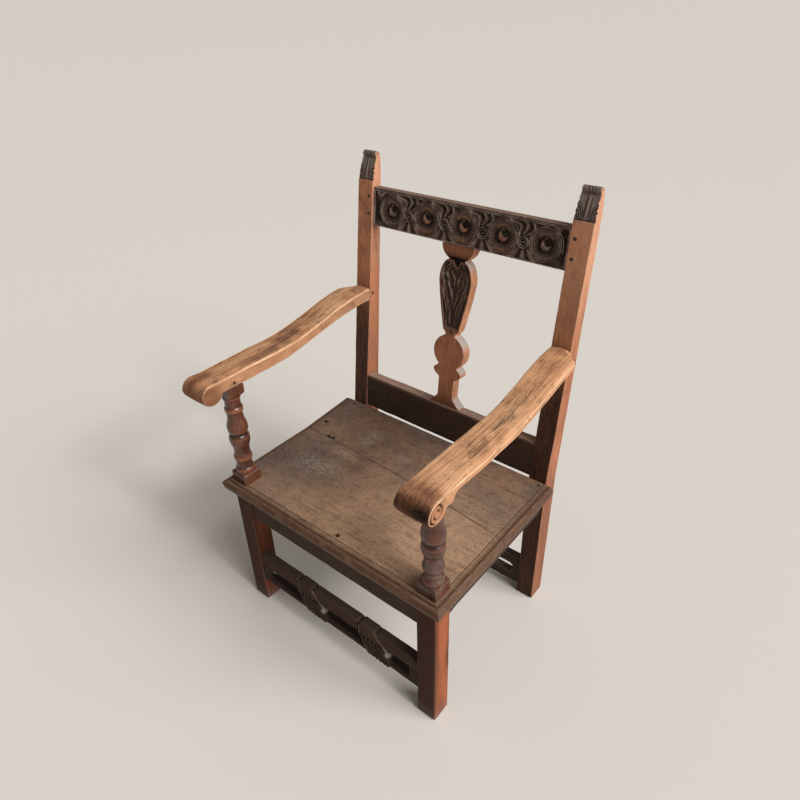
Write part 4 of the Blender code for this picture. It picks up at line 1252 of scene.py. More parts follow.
@dataclass
class Splat:
    """The shaped splat with its carved heart."""

    places: Places
    section: Section = Section((10, 10, 10, 110))
    bottom: float = 0.0938
    top: float = 0.49085
    margin: float = 0.0008
    thickness: float = 0.026
    inset: float = 0.003
    easing: float = 0.0016
    shift: float = -0.003
    uneven: float = 0.0005
    rows: int = 420
    feel_from: float = 0.2
    heart_low: float = 0.2935
    heart_high: float = 0.4578
    heart_lid: float = 0.002
    rim: float = 0.0058
    cut: float = 0.0052
    cleft_wide: float = 0.0105
    cleft_deep: float = 0.014
    throat: float = 0.0115
    throat_rise: Pair = (-0.0006, 0.0022)
    throat_end: Pair = (0.0035, 0.007)  # above the heart
    throat_side: Pair = (0.001, 0.006)
    strand_half: float = 0.135
    strands: tuple[Four, ...] = (  # start and end across, as shares of the half width, and up
        (0.9, 0.75, 0.97, 0.02),
        (0.86, 0.3, 0.86, 0.06),
        (0.66, 0.05, 0.93, 0.3),
        (0.52, 0.04, 0.74, 0.42),
        (0.88, 0.4, 0.62, 0.05),
        (0.3, 0.02, 0.88, 0.62),
    )
    bell: Pair = (0.003, 0.008)  # above the heart
    bell_shade: Pair = (0.004, 0.02)  # above the heart
    foot_shade: float = 0.035
    tail: Pair = (0.004, 0.016)  # below the heart
    tail_across: Pair = (0.002, 0.012)

    def half_widths(self, up: Array) -> Array:
        """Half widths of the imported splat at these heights, with its corners worn round."""
        feeler = Feeler("back_splat")
        depth = self.inset + self.thickness / 2
        found = []
        for height in up:
            start = self.places.lean(self.feel_from, depth, height)
            found.append(feeler.touch(tuple(start), (-1.0, 0.0, 0.0)).x - self.shift)
        return smoothed(np.array(found), 5)

    def leaves(self, x: Array, up: Array, half: Array) -> Array:
        """The raised leaf strands on the heart.

        Args:
            x: Places across, from the splat's middle.
            up: Places up the splat.
            half: Half widths at those heights.

        Returns:
            How far each place is on a strand.
        """
        share = np.clip((up - self.heart_low) / (self.heart_high - self.heart_low), -0.1, 1.1)
        out = unit(np.abs(x) / np.maximum(half - self.rim, 0.002))
        flat = np.stack((x, up, np.zeros_like(x)), axis=-1)
        wander = 0.2 * (mottle(flat, (0.016, 0.016, 1.0), 35) - 0.5)
        found = np.zeros_like(x)
        for number, (high, low, start, end) in enumerate(self.strands):
            run = unit((start - share) / (start - end))
            line = high + (low - high) * ease(run, 0.0, 1.0) - 0.3 * ease(0.16 - run, 0.0, 0.16)
            off = out - line + wander + np.where(x < 0, 0.0, 0.06 - 0.03 * number)
            ends = ease(start - share, -0.02, 0.02) * ease(share - end, -0.02, 0.05)
            found = np.maximum(found, ends * hump(off, 0.0, self.strand_half))
        uneven = 0.45 + 0.75 * mottle(flat, (0.006, 0.01, 1.0), 36)
        return found * uneven * np.where(x < 0, 1.0, 0.8)

    def heart(self, x: Array, up: Array, half: Array) -> tuple[Array, Array, Array]:
        """The carving of the heart.

        Args:
            x: Places across, from the splat's middle.
            up: Places up the splat.
            half: Half widths at those heights.

        Returns:
            How deep the face is cut, as a share, how far a place is inside the heart, and how far it is
            in the throat above the heart's cleft.
        """
        share = (up - self.heart_low) / (self.heart_high - self.heart_low)
        away = np.abs(x)
        dip = self.cleft_deep * unit(1 - (away / self.cleft_wide) ** 2)
        lid = self.heart_high - self.heart_lid - dip - up
        edge = np.minimum(half - away, lid)
        inside = ease(edge, self.rim * 0.7, self.rim * 1.1) * ease(share, 0.0, 0.05)
        throat = ease(-lid, *self.throat_rise) * fade(up - self.heart_high, *self.throat_end)
        throat = throat * ease(half - away, *self.throat_side)
        deep = np.clip(0.8 - 0.78 * self.leaves(x, up, half), -0.1, 1.2)
        return deep * inside, inside, throat

    def build(self) -> Piece:
        """Builds the splat.

        Returns:
            The new piece.
        """
        up = np.linspace(self.bottom + self.margin, self.top - self.margin, self.rows)
        half = self.half_widths(up)
        facing_up = np.clip(-np.gradient(half, up), 0.0, 3.0)[:, None]
        half = half[:, None]
        section = self.section
        sides = (self.inset, self.inset + self.thickness)
        across, depth = section.place((-half, half), sides, self.easing)
        across, depth, up = np.broadcast_arrays(across, depth, up[:, None])
        face = section.face(Way.NEAR_SECOND, 4)
        deep, inside, throat = self.heart(across, up, half)
        flat = np.stack((across, depth, up), axis=-1)
        depth = depth + face * (self.cut * deep + self.throat * throat)
        depth = depth + self.uneven * (mottle(flat, 0.03, 31) - 0.5)
        points = self.places.lean(self.shift + across, depth, up)
        in_heart = ease(up, self.heart_low - 0.012, self.heart_low + 0.006)
        carved = face * in_heart * fade(up, self.heart_high, self.heart_high + 0.004)
        above = up - self.heart_high
        # Painted shade under the bell, at the splat's foot and in the throat above the cleft, through the
        # dark and hollow marks.
        bell = ease(above, *self.bell)
        bell_dark = bell * (0.42 + 0.4 * fade(above, *self.bell_shade))
        foot = fade(up, self.bottom, self.bottom + self.foot_shade)
        tail = hump(self.heart_low - up, *self.tail) * hump(across, *self.tail_across)
        dark = most(carved * (0.82 + 0.1 * inside), face * most(bell_dark, 0.55 * foot, 0.9 * tail, throat))
        fine = mottle(flat, 0.01, 33)
        side = section.facing(Way.FAR_FIRST) + section.facing(Way.NEAR_FIRST)
        ridge = carved * inside * ease(0.42 - deep, 0.0, 0.36) * (0.55 + 0.45 * ease(-across, -0.004, 0.008))
        dust = 0.42 * ridge * (0.25 + fine) + 0.06 * carved + 0.8 * side * ease(facing_up, 0.1, 0.8)
        marks = {
            "dark": unit(dark + 0.22 * face),
            "warm": unit(0.45 * fine * (carved * (1 - inside) + face * bell)),
            "wear": unit(0.35 * side * fine + 0.55 * section.rim.edge * (0.4 + fine) * (1 - carved)),
            "hollow": unit(0.7 * carved * inside * ease(deep, 0.35, 0.75) + face * throat),
            "dust": unit(dust),
        }
        return rolled("carved_splat", points, marks)


@dataclass
class Arm:
    """An arm with a rolled front end and a carved volute on its outer face."""

    side: Side
    places: Places
    section: Section = Section((40, 80, 40, 24), 6)
    scroll: float = 0.02475
    scroll_rows: int = 30
    neck_rows: int = 15
    neck_turn: float = math.radians(68)
    rows: int = 110
    rear_level: float = 0.05  # above the arm's underside, where it meets the post
    rear_lean: float = 0.03  # over which it takes the post's slope
    feel_top: float = 0.022  # from the inner face
    feel_under: float = 0.005
    feel_end: float = 0.008  # before the post
    feel_side: Pair = (0.012, 0.006)  # behind the front end, and before the post
    easing: float = 0.005
    slimmest: float = 0.0003
    lip: float = 0.011
    undercut: Pair = (0.004, 0.046)  # behind the front posts' face
    outer_round: float = 0.016
    outer_fall: float = 0.0042
    outer_start: float = 0.03
    volute_out: float = 0.8
    volute_pitch: float = 0.36
    volute_wide: float = 0.13
    volute_turn: float = 0.2
    volute_eye: float = 0.16
    volute_deep: float = 0.0042
    eye_rise: float = 0.0006
    crown: float = 0.0014
    crown_drop: float = 0.001
    worn: float = 0.0006
    worn_cell: float = 0.028
    pitted: float = 0.0005
    splits: tuple[Four, ...] = (  # place and half width across, as shares, start and end along the arm
        (0.52, 0.018, -0.17, 0.19),
        (0.36, 0.015, -0.26, 0.02),
        (0.7, 0.014, -0.21, -0.04),
        (0.27, 0.014, 0.03, 0.18),
        (0.62, 0.012, 0.05, 0.17),
    )
    split_end: float = 0.03
    ahead: Pair = (-0.012, 0.05)  # from the scroll's middle
    nose_fall: Pair = (-0.032, -0.008)  # below the scroll's middle
    smudge_end: Pair = (0.06, 0.14)
    grime_and_shade: Pair = (-0.06, 0.2)

    @property
    def node(self) -> str:
        """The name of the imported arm."""
        return "arm_" + self.side.word

    @property
    def centre(self) -> Pair:
        """The middle of the scroll, from front to back and up."""
        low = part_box(self.node)[0]
        return low.y + self.scroll, low.z + self.scroll

    @property
    def rear(self) -> float:
        """Where the arm ends at the back post."""
        return self.places.back_front(self.places.arm_under + self.rear_level) - CLEARANCE

    def outline(self) -> tuple[Array, Array, Array, Array, Array]:
        """The arm's side and width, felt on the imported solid.

        Returns:
            Places along the arm, and at each the height of its top and of its underside, and how far out
            its outer and its inner face are.
        """
        feeler = Feeler(self.node)
        low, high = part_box(self.node)
        sign = self.side.value
        centre_y, centre_z = self.centre
        inner_x = min(abs(low.x), abs(high.x))
        nose = centre_y - self.scroll * np.cos(np.linspace(0.0, math.pi / 2, self.scroll_rows))
        neck = centre_y + self.scroll * np.sin(np.linspace(0.0, self.neck_turn, self.neck_rows + 1))[1:]
        rest = np.linspace(neck[-1] + 0.002, self.rear - 0.0005, self.rows)
        y = np.concatenate((nose, neck, rest))
        found = []
        for place in y:
            reach = np.clip((place - centre_y) / self.scroll, -1.0, 1.0)
            circle = self.scroll * math.sqrt(max(1 - reach * reach, 0.0))
            felt_y = min(max(place, centre_y), self.rear - self.feel_end)
            top = feeler.touch((sign * (inner_x + self.feel_top), felt_y, high.z + FAR), (0, 0, -1)).z
            under = feeler.touch((sign * (inner_x + self.feel_under), felt_y, low.z - FAR), (0, 0, 1)).z
            if place <= centre_y:
                top = centre_z + circle
                under = centre_z - circle
            elif place <= neck[-1]:
                under = min(centre_z - circle, self.places.arm_under)
            level = top - self.lip / 2 if place > neck[-1] else centre_z
            side_y = max(min(place, self.rear - self.feel_side[1]), low.y + self.feel_side[0])
            outer = feeler.touch((sign * (self.places.half_width + FAR), side_y, level), (-sign, 0, 0)).x
            inner = feeler.touch((0.0, side_y, level), (sign, 0, 0)).x
            found.append((top, under, abs(outer), abs(inner)))
        top, under, outer, inner = np.array(found).T
        keep = self.scroll_rows + self.neck_rows
        before = 6
        top[keep:] = smoothed(top[keep - before :], 9)[before:]
        under[keep:] = smoothed(under[keep:], 7)
        return y, top, under, smoothed(outer, 7), smoothed(inner, 7)

    def volute(self, y: Array, z: Array) -> tuple[Array, Array]:
        """The spiral on the scroll's outer face.

        Args:
            y: Places along the arm.
            z: Heights.

        Returns:
            How far each place is in the spiral's groove, and how far on its eye.
        """
        centre_y, centre_z = self.centre
        reach = np.hypot(y - centre_y, z - centre_z) / self.scroll
        turns = np.mod(np.arctan2(z - centre_z, centre_y - y) / FULL_TURN + self.volute_turn, 1.0)
        laps = []
        for lap in (0.0, 1.0):
            middle = self.volute_out - self.volute_pitch * (turns + lap)
            laps.append(hump(reach, middle, self.volute_wide - 0.02 * lap))
        return most(*laps) * (reach < 1.0) * (reach > self.volute_eye), bead(reach, 0.0, self.volute_eye)

    def split(self, share: Array, y: Array) -> Array:
        """The long cracks of the upper face.

        Args:
            share: Places across the arm, from 0 at its inner to 1 at its outer edge.
            y: Places along the arm.

        Returns:
            How far each place is in a crack.
        """
        found = np.zeros_like(share)
        for place, reach, start, end in self.splits:
            strip = np.stack((np.full_like(y, place), y, np.zeros_like(y)), axis=-1)
            wander = 0.09 * (mottle(strip, (0.05, 0.07, 1.0), 43 + self.side.value) - 0.5)
            along = stretch(y, (start, start + self.split_end, end - self.split_end, end))
            found = np.maximum(found, along * hump(share - place - wander, 0.0, reach))
        return found

    def marks(self, points: Array, y: Array, z: Array, groove: Array, share: Array) -> Marks:
        """The arm's smudges, cracks and rubbed edges.

        Args:
            points: The points.
            y: Their places along the arm before wear.
            z: Their heights before wear.
            groove: How far each is in the volute's groove.
            share: Their places across the arm, from 0 at its inner to 1 at its outer edge.

        Returns:
            The marks at the points.
        """
        section = self.section
        run, _, _, edge = section.rim
        centre_y, centre_z = self.centre
        outward = section.facing(Way.FAR_FIRST, 0.6, 0.95)
        upper = section.facing(Way.FAR_SECOND)
        lower = section.facing(Way.NEAR_SECOND, 0.2, 0.9)
        fine = mottle(points, 0.02, 47)
        broad = mottle(points, (0.03, 0.1, 0.03), 49)
        patchy = ease(mottle(points, (0.012, 0.022, 0.012), 51), 0.42, 0.68)
        ahead = fade(y - centre_y, *self.ahead)
        below = ease(centre_z - z, *self.nose_fall)
        nose = self.side.pick(0.6, 1.5) * ahead * below * (1 - 0.95 * outward)
        smudge = np.sqrt(1 - run**2) * ease(broad, 0.36, 0.66) * ease(fine, 0.1, 0.8)
        smudge = smudge * (1 - 0.6 * ease(y, *self.smudge_end))
        smudge = smudge + self.side.pick(0.15, 1.00) * patchy * hump(run, 0.15, 0.75) * hump(y, *self.grime_and_shade)
        dark = 0.74 * upper * smudge + self.side.pick(0.24, 0.05) + nose
        dark = dark + 0.7 * lower + 0.36 * (1 - upper - lower) * (0.3 + fine)
        wear = edge * (0.45 + 0.6 * fine) + 0.25 * upper * ease(0.5 - broad, 0.0, 0.3)
        split = upper * self.split(share, y)
        return {
            "dark": unit(dark),
            "warm": unit(0.3 * ahead * (0.4 + 0.8 * fine) + 0.25 * lower),
            "wear": unit(wear) * (1 - 0.7 * most(lower, nose)),
            "hollow": unit(outward * groove + 0.55 * nose * (0.5 + fine) + 0.75 * split),
            "sound": 1 - upper,
        }

    def build(self) -> Piece:
        """Builds the arm.

        Returns:
            The new piece.
        """
        section = self.section
        y, top, under, outer, inner = (column[:, None] for column in self.outline())
        slim = np.clip((top - under) * 0.35, self.slimmest, self.easing)
        across, z = section.place((inner, outer), (under, top), slim)
        lift = np.maximum(top - self.lip - z, 0.0) * ease(y - self.places.front_y, *self.undercut)
        across = inner + (across - inner) * (1 - lift / (outer - inner))
        edge_share = unit((across - outer + self.outer_round) / self.outer_round)
        centre_y = self.centre[0]
        fall = self.outer_fall * ease(y, centre_y, centre_y + self.outer_start)
        z = z - fall * edge_share**2 * section.facing(Way.FAR_SECOND, 0.1, 0.7)
        slope = ease(y, self.rear - self.rear_lean, self.rear) * math.tan(self.places.rake)
        y = y + slope * (z - (top + under) / 2)
        groove, eye = self.volute(y, z)
        outward = section.facing(Way.FAR_FIRST, 0.6, 0.95)
        across = across - outward * (self.volute_deep * groove - self.eye_rise * eye)
        swell = self.crown * (1 - section.rim.run**2) - self.crown_drop
        z = z + swell * section.facing(Way.FAR_SECOND, 0.5, 0.95)
        points = np.stack((self.side.value * across, y, z), axis=-1)
        pits = mottle(points, (0.003, 0.05, 0.003), 44) - 0.5
        points = stirred(points, self.worn, self.worn_cell, 40 + self.side.value)
        points[..., 2] += self.pitted * pits * section.facing(Way.FAR_SECOND)
        share = (across - inner) / (outer - inner)
        return rolled("rolled_" + self.node, points, self.marks(points, y, z, groove, share))


class PostRing(NamedTuple):
    """A ring of a front post, its corners' radius, whether it is turned, and how deep in a groove."""

    z: float
    wide: float
    deep: float
    bend: float
    is_round: float = 0.0
    groove: float = 0.0


@dataclass
class FrontPost:
    """A front leg, plinth, turned support and cap in one timber."""

    side: Side
    places: Places
    section: Section = Section((10, 10, 10, 10), 5)
    plinth: float = 0.027
    easing: float = 0.002
    foot_round: float = 0.002
    foot_height: float = 0.004
    leg_rows: int = 44
    plinth_steps: tuple[Pair, ...] = (  # inset, and fall from the plinth's top
        (0.0, 0.006),
        (0.0, 0.0032),
        (0.0008, 0.0016),
        (0.002, 0.0005),
        (0.0034, 0.0),
    )
    turn_rows: int = 300
    turn_margin: float = 0.0004
    window: int = 29
    cap: float = 0.027
    cap_inset: float = 0.002
    cap_easing: float = 0.0022
    cap_steps: tuple[Trio, ...] = (  # height, inset and corner
        (0.0, 0.0055, 0.012),
        (0.0014, 0.0026, 0.009),
        (0.0035, 0.0006, 0.006),
        (0.006, 0.0, 0.0035),
    )
    cap_arris: float = 0.001
    worn: float = 0.0004
    worn_cell: float = 0.022
    grey_left: Pair = (0.44, 0.46)
    grey_right: Pair = (0.47, 0.505)
    foot_dust: Pair = (0.006, 0.05)
    # How far the turning swells or sinks before it gets a painted highlight or painted shade.
    swell: Pair = (0.0003, 0.0016)
    sunk: Pair = (0.0002, 0.0016)
    gloss: Pair = (-0.03, -0.01)  # from the turning's start

    @property
    def node(self) -> str:
        """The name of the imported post."""
        return "front_post_" + self.side.word

    @property
    def middle(self) -> Pair:
        """The post's middle, across and from front to back."""
        places = self.places
        across = self.side.value * (places.half_width + places.leg_inner) / 2
        return across, (places.leg_back + places.front_y) / 2

    @property
    def leg_half(self) -> Pair:
        """Half the leg's width and half its depth."""
        places = self.places
        return (places.half_width - places.leg_inner) / 2, (places.leg_back - places.front_y) / 2

    @property
    def turn_low(self) -> float:
        """Where the turning starts, at the plinth's top."""
        return self.places.seat_top + self.plinth

    @property
    def cap_low(self) -> float:
        """Where the turning ends and the cap starts."""
        return self.places.arm_under - CLEARANCE - self.cap

    def leg_rings(self) -> list[PostRing]:
        """Rings of the leg and the plinth, from the floor up to where the turning starts."""
        half_x, half_y = self.leg_half
        feet = (0.0, 0.0015, self.foot_height)
        shaft = np.linspace(0.012, self.places.seat_top - 0.004, self.leg_rows)
        rings = []
        for height in (*feet, *shaft):
            pull = self.foot_round * float(fade(height, 0.0, self.foot_height))
            rings.append(PostRing(height, half_x - pull, half_y - pull, self.easing))
        for inset, fall in self.plinth_steps:
            rings.append(PostRing(self.turn_low - fall, half_x - inset, half_y - inset, self.easing + inset))
        return rings

    def turned_rings(self) -> list[PostRing]:
        """Rings of the turning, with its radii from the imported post."""
        feeler = Feeler(self.node)
        x, y = self.middle
        low = self.turn_low + self.turn_margin
        heights = np.linspace(low, self.cap_low - self.turn_margin, self.turn_rows)
        found = [y - feeler.touch((x, y - FAR, height), (0, 1, 0)).y for height in heights]
        radii = smoothed(np.array(found), 5)
        grooves = smoothed(radii, self.window) - radii
        rings = zip(heights, radii, grooves)
        return [PostRing(height, radius, radius, radius, 1.0, groove) for height, radius, groove in rings]

    def cap_rings(self) -> list[PostRing]:
        """Rings of the cap, from the turning up."""
        lowest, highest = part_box(self.node)
        half = (highest.y - lowest.y) / 2 - self.cap_inset
        low = self.cap_low
        rings = []
        for rise, inset, bend in self.cap_steps:
            rings.append(PostRing(low + rise, half - inset, half - inset, bend))
        for rise in np.linspace(0.01, self.cap - self.cap_arris, 8):
            rings.append(PostRing(low + rise, half, half, self.cap_easing))
        top = half - self.cap_arris
        rings.append(PostRing(low + self.cap, top, top, self.cap_easing))
        return rings

    def build(self) -> Piece:
        """Builds the post.

        Returns:
            The new piece.
        """
        rings = self.leg_rings() + self.turned_rings() + self.cap_rings()
        ring = PostRing(*(np.array(column)[:, None] for column in zip(*rings)))
        section = self.section
        half_x, half_y = self.leg_half
        square = section.place((-half_x, half_x), (-half_y, half_y), self.easing)
        ways = np.arctan2(square[1], square[0])
        x, y = section.place((-ring.wide, ring.wide), (-ring.deep, ring.deep), ring.bend)
        x = np.where(ring.is_round > 0.5, ring.wide * np.cos(ways), x)
        y = np.where(ring.is_round > 0.5, ring.wide * np.sin(ways), y)
        middle_x, middle_y = self.middle
        z = np.broadcast_to(ring.z, x.shape)
        points = np.stack((middle_x + x, middle_y + y, z), axis=-1)
        moved = stirred(points, self.worn, self.worn_cell, 60 + self.side.value)
        points = np.where((z <= self.foot_height)[..., None], points, moved)
        fine = mottle(points, 0.012, 63)
        broad = mottle(points, (0.05, 0.05, 0.02), 66)
        patchy = ease(mottle(points, (0.03, 0.03, 0.09), 68), 0.4, 0.75)
        front, back = (ease(sign * np.sin(ways), 0.55, 0.85) for sign in (-1, 1))
        shaded, lit = (ease(sign * np.cos(ways), 0.55, 0.85) for sign in (-1, 1))
        leg = fade(z, self.places.seat_bottom, self.places.seat_top)
        on_turn = ring.is_round * ease(z, self.turn_low, self.turn_low + 0.001)
        block = (1 - ring.is_round) * (1 - leg)
        grey = self.side.pick(0.25 * fade(z, *self.grey_left), fade(z, *self.grey_right)) * (1 - leg)
        foot = fade(z, *self.foot_dust)
        # Painted highlight and warmth on the turning's swells, and painted shade in its grooves through the
        # hollow mark.
        swell = ease(-ring.groove, *self.swell) * on_turn
        sunlit = self.side.pick(0.25, 1.0)
        # Painted light and shade below the seat: the leg is darkened, most on its front and on the faces
        # turned from +X, and its side facing +X is painted warm, fully on the right leg and a quarter as much
        # on the left; the plinth is darkened, its front the most.
        sides = 0.95 * front + 0.8 * back + 0.6 * shaded + lit * (0.72 - 0.4 * patchy)
        dark = leg * np.clip(sides, 0.0, 0.95)
        dark = dark + on_turn * (0.4 + 0.45 * ease(broad, 0.35, 0.65)) + block * (0.45 + 0.35 * front)
        wear = self.section.rim.edge * (1 - ring.is_round) * (0.25 + 0.55 * fine) + 0.4 * swell * fine
        warm = leg * lit * sunlit * (0.25 + 0.55 * patchy) + 0.65 * on_turn * swell * (1 - 0.7 * grey)
        marks = {
            "dark": unit(dark),
            "warm": unit(warm),
            "wear": unit(most(wear, 0.25 * foot * fine, grey * (0.02 + 0.5 * ease(fine, 0.42, 0.8)))),
            "hollow": unit(0.75 * on_turn * ease(ring.groove, *self.sunk)),
            "dust": 0.1 * foot,
            "gloss": ease(z - self.turn_low, *self.gloss) * (1 - 0.2 * grey),
        }
        return rolled("turned_post_" + self.side.word, points, marks)


class PlankGrid(NamedTuple):
    """The points of a seat board, column by column from left to right.

    The y places run over the top from front to back and then back along the underside. The start and
    the end are the board's front and rear at each column, and is_top says which points are on top.
    """

    x: Array
    y: Array
    start: Array
    end: Array
    inset: Array
    is_top: Array


@dataclass
class Seat:
    """The two seat boards with their moulded edges."""

    places: Places
    front_depth: float = 0.255
    skew: float = 0.042
    bow: float = 0.011
    spread: float = 0.013
    mould: float = 0.0265
    roll: float = 0.0108
    roll_lines: int = 12
    flat_lines: int = 26
    quirk: float = 0.0018
    under: float = 0.00225
    under_lines: tuple[float, ...] = (0.9999, 0.9, 0.5, 0.12, 0.0101, 0.0001)  # shares of the depth
    arris: tuple[float, ...] = (0.0, 0.0003, 0.0008, 0.0016, 0.003)
    joint_arris: Pair = (0.0016, 0.0009)  # its width and its depth
    rear_arris: Pair = (0.0014, 0.0008)
    pitch: float = 0.0023
    front_lines: float = 0.02  # of the skewed part that adds no lines
    rear_lines: float = 0.15  # of the rear board's depth that adds lines
    wave: float = 0.001
    dents: float = 0.0006
    sag: float = 0.0004
    worn_from: Pair = (0.004, 0.03)
    knot_deep: float = 0.004
    knot_long: float = 1.35
    front_knots: tuple[Trio, ...] = ((0.027, -0.2186, 0.0062),)
    rear_knots: tuple[Trio, ...] = (
        (-0.236, 0.025, 0.0085),
        (-0.222, 0.0275, 0.006),
        (-0.288, 0.069, 0.0068),
    )
    quirk_mark: float = 0.0014
    joint_mark: Pair = (0.0004, 0.0014)
    flat_mark: Pair = (0.0185, 0.005)
    rim: Pair = (0.009, 0.03)

    @property
    def thick(self) -> float:
        """The boards' thickness."""
        return self.places.seat_top - self.places.seat_bottom

    @property
    def quirks(self) -> Pair:
        """How far from the edge the moulding's two quirks lie."""
        return self.roll + 0.8 * self.quirk, self.mould - 0.8 * self.quirk

    def joint(self, x: Array) -> Array:
        """Where the joint of the boards is, from front to back."""
        share = np.asarray(x) / self.places.seat_half
        bow = self.bow * np.maximum(1 - share * share, 0.0)
        return self.places.seat_front + self.front_depth - share * self.skew / 2 + bow

    def insets(self) -> Array:
        """Insets from an edge at which the moulding needs a line."""
        round_part = self.roll * (1 - np.sin(np.radians(np.linspace(90, 0, self.roll_lines))))
        flat_part = np.linspace(self.roll + 0.0005, self.mould + 0.0016, self.flat_lines)
        return np.unique(np.round(np.concatenate((round_part, flat_part)), 6))

    def fall(self, inset: Array) -> Array:
        """How far the moulding lies below the top at these insets from the edge."""
        crown = self.quirk * 0.8
        share = unit(1 - inset / self.roll)
        roll = crown + (self.thick * 0.5 - crown) * (1 - np.sqrt(1 - share * share))
        outer, inner = (hump(inset, quirk, 0.9 * self.quirk) for quirk in self.quirks)
        flat = self.quirk * (0.6 * fade(inset, self.roll, self.mould) + outer + 0.9 * inner)
        return np.where(inset < self.roll, roll, flat)

    def rise(self, inset: Array) -> Array:
        """How far the underside lies below the top at these insets from the edge."""
        return self.thick * (0.5 + 0.5 * unit(inset / self.under))

    def lines(self, low: float, high: float) -> Array:
        """Evenly spaced lines from low to high, about a pitch apart."""
        return np.linspace(low, high, max(int((high - low) / self.pitch), 2))

    def grid(self, plank: Plank) -> PlankGrid:
        """Lays out the points of a board, seen from above.

        Args:
            plank: Which board.

        Returns:
            The points' places and what they belong to.
        """
        insets = self.insets()
        arris = np.array(self.arris)
        half = self.places.seat_half
        middle = self.lines(insets[-1] + self.pitch, 2 * half - insets[-1] - self.pitch)
        from_left = np.concatenate((insets, middle, 2 * half - insets[::-1]))[:, None]
        x = from_left - half
        if plank is Plank.FRONT:
            start = np.full_like(x, self.places.seat_front)
            end = self.joint(x) - CLEARANCE / 2
            edge_lines = insets
            last = self.front_depth - self.skew - self.front_lines
        else:
            start = self.joint(x) + CLEARANCE / 2
            end = np.full_like(x, self.places.back_y - CLEARANCE)
            edge_lines = arris
            last = self.rear_lines
        base = edge_lines[-1]
        near = np.concatenate((edge_lines, self.lines(base + self.pitch, last)))
        span = end - arris[-1] - arris[2] - (start + base)
        ahead = np.where(near <= base, start + near, start + base + (near - base) / (near[-1] - base) * span)
        above = np.concatenate((ahead, end - arris[::-1]), axis=1)
        y = np.concatenate((above, start + (end - start) * np.array(self.under_lines)), axis=1)
        is_top = np.broadcast_to(np.arange(y.shape[1]) < above.shape[1], y.shape)
        inset = np.broadcast_to(np.minimum(from_left, 2 * half - from_left), y.shape)
        if plank is Plank.FRONT:
            inset = np.minimum(inset, np.maximum(y - self.places.seat_front, 0.0))
        return PlankGrid(np.broadcast_to(x, y.shape), y, start, end, inset, is_top)

    def arris_fall(self, gap: Array, arris: Pair) -> Array:
        """How far a worn edge lies below the top at these gaps from it."""
        wide, deep = arris
        return deep * (1 - bead(np.clip(wide - gap, 0.0, None), 0.0, wide + 0.0001))

    def board(self, plank: Plank) -> Piece:
        """Builds one of the boards.

        Args:
            plank: Which board.

        Returns:
            The new piece.
        """
        x, y, start, end, inset, is_top = self.grid(plank)
        if plank is Plank.FRONT:
            knots = self.front_knots
            joint_gap = end - y
            fall = self.fall(inset) + self.arris_fall(joint_gap, self.joint_arris)
        else:
            knots = self.rear_knots
            joint_gap = y - start
            fall = self.fall(inset) + self.arris_fall(joint_gap, self.joint_arris)
            fall = fall + self.arris_fall(end - y, self.rear_arris)
            left_joint = self.joint(-self.places.seat_half)
            run_out = unit((y - left_joint) / (self.places.back_y - left_joint))
            x = x - self.spread * run_out * ease(-x, 0.0, self.places.seat_half)
        z = self.places.seat_top - np.where(is_top, fall, self.rise(inset))
        points = np.stack((x, y, z), axis=-1)
        wave = (mottle(points, (0.16, 0.05, 1.0), 71) - 0.5) * self.wave
        dents = (mottle(points, (0.02, 0.012, 1.0), 73) - 0.5) * self.dents
        points[..., 2] += (wave + dents - self.sag) * ease(inset, *self.worn_from) * is_top
        hollow = np.zeros_like(y)
        for knot_x, knot_y, size in knots:
            pit = hump(np.hypot((x - knot_x) / self.knot_long, y - knot_y), 0.0, size) * is_top
            points[..., 2] -= self.knot_deep * pit
            hollow = most(hollow, unit(pit * 2.0))
        quirks = sum(hump(inset, quirk, self.quirk_mark) for quirk in self.quirks) * is_top
        seam = (0.35 + 0.6 * mottle(points, (0.05, 0.2, 1.0), 75)) * fade(joint_gap, *self.joint_mark)
        fine = mottle(points, 0.014, 77)
        crest = 0.45 * hump(inset, self.roll * 0.65, self.roll * 0.4) * ease(fine, 0.3, 0.75)
        flat_edge = 0.32 * hump(inset, *self.flat_mark) * fine
        rim = fade(inset, *self.rim)
        marks = {
            "dark": unit(np.where(is_top, rim * (0.72 + 0.4 * fine), 0.9)),
            "wear": unit(most(crest, flat_edge) * is_top),
            "hollow": unit(most(hollow, 0.8 * quirks, seam)),
        }
        return rolled("seat_plank_" + plank.value, points, marks)


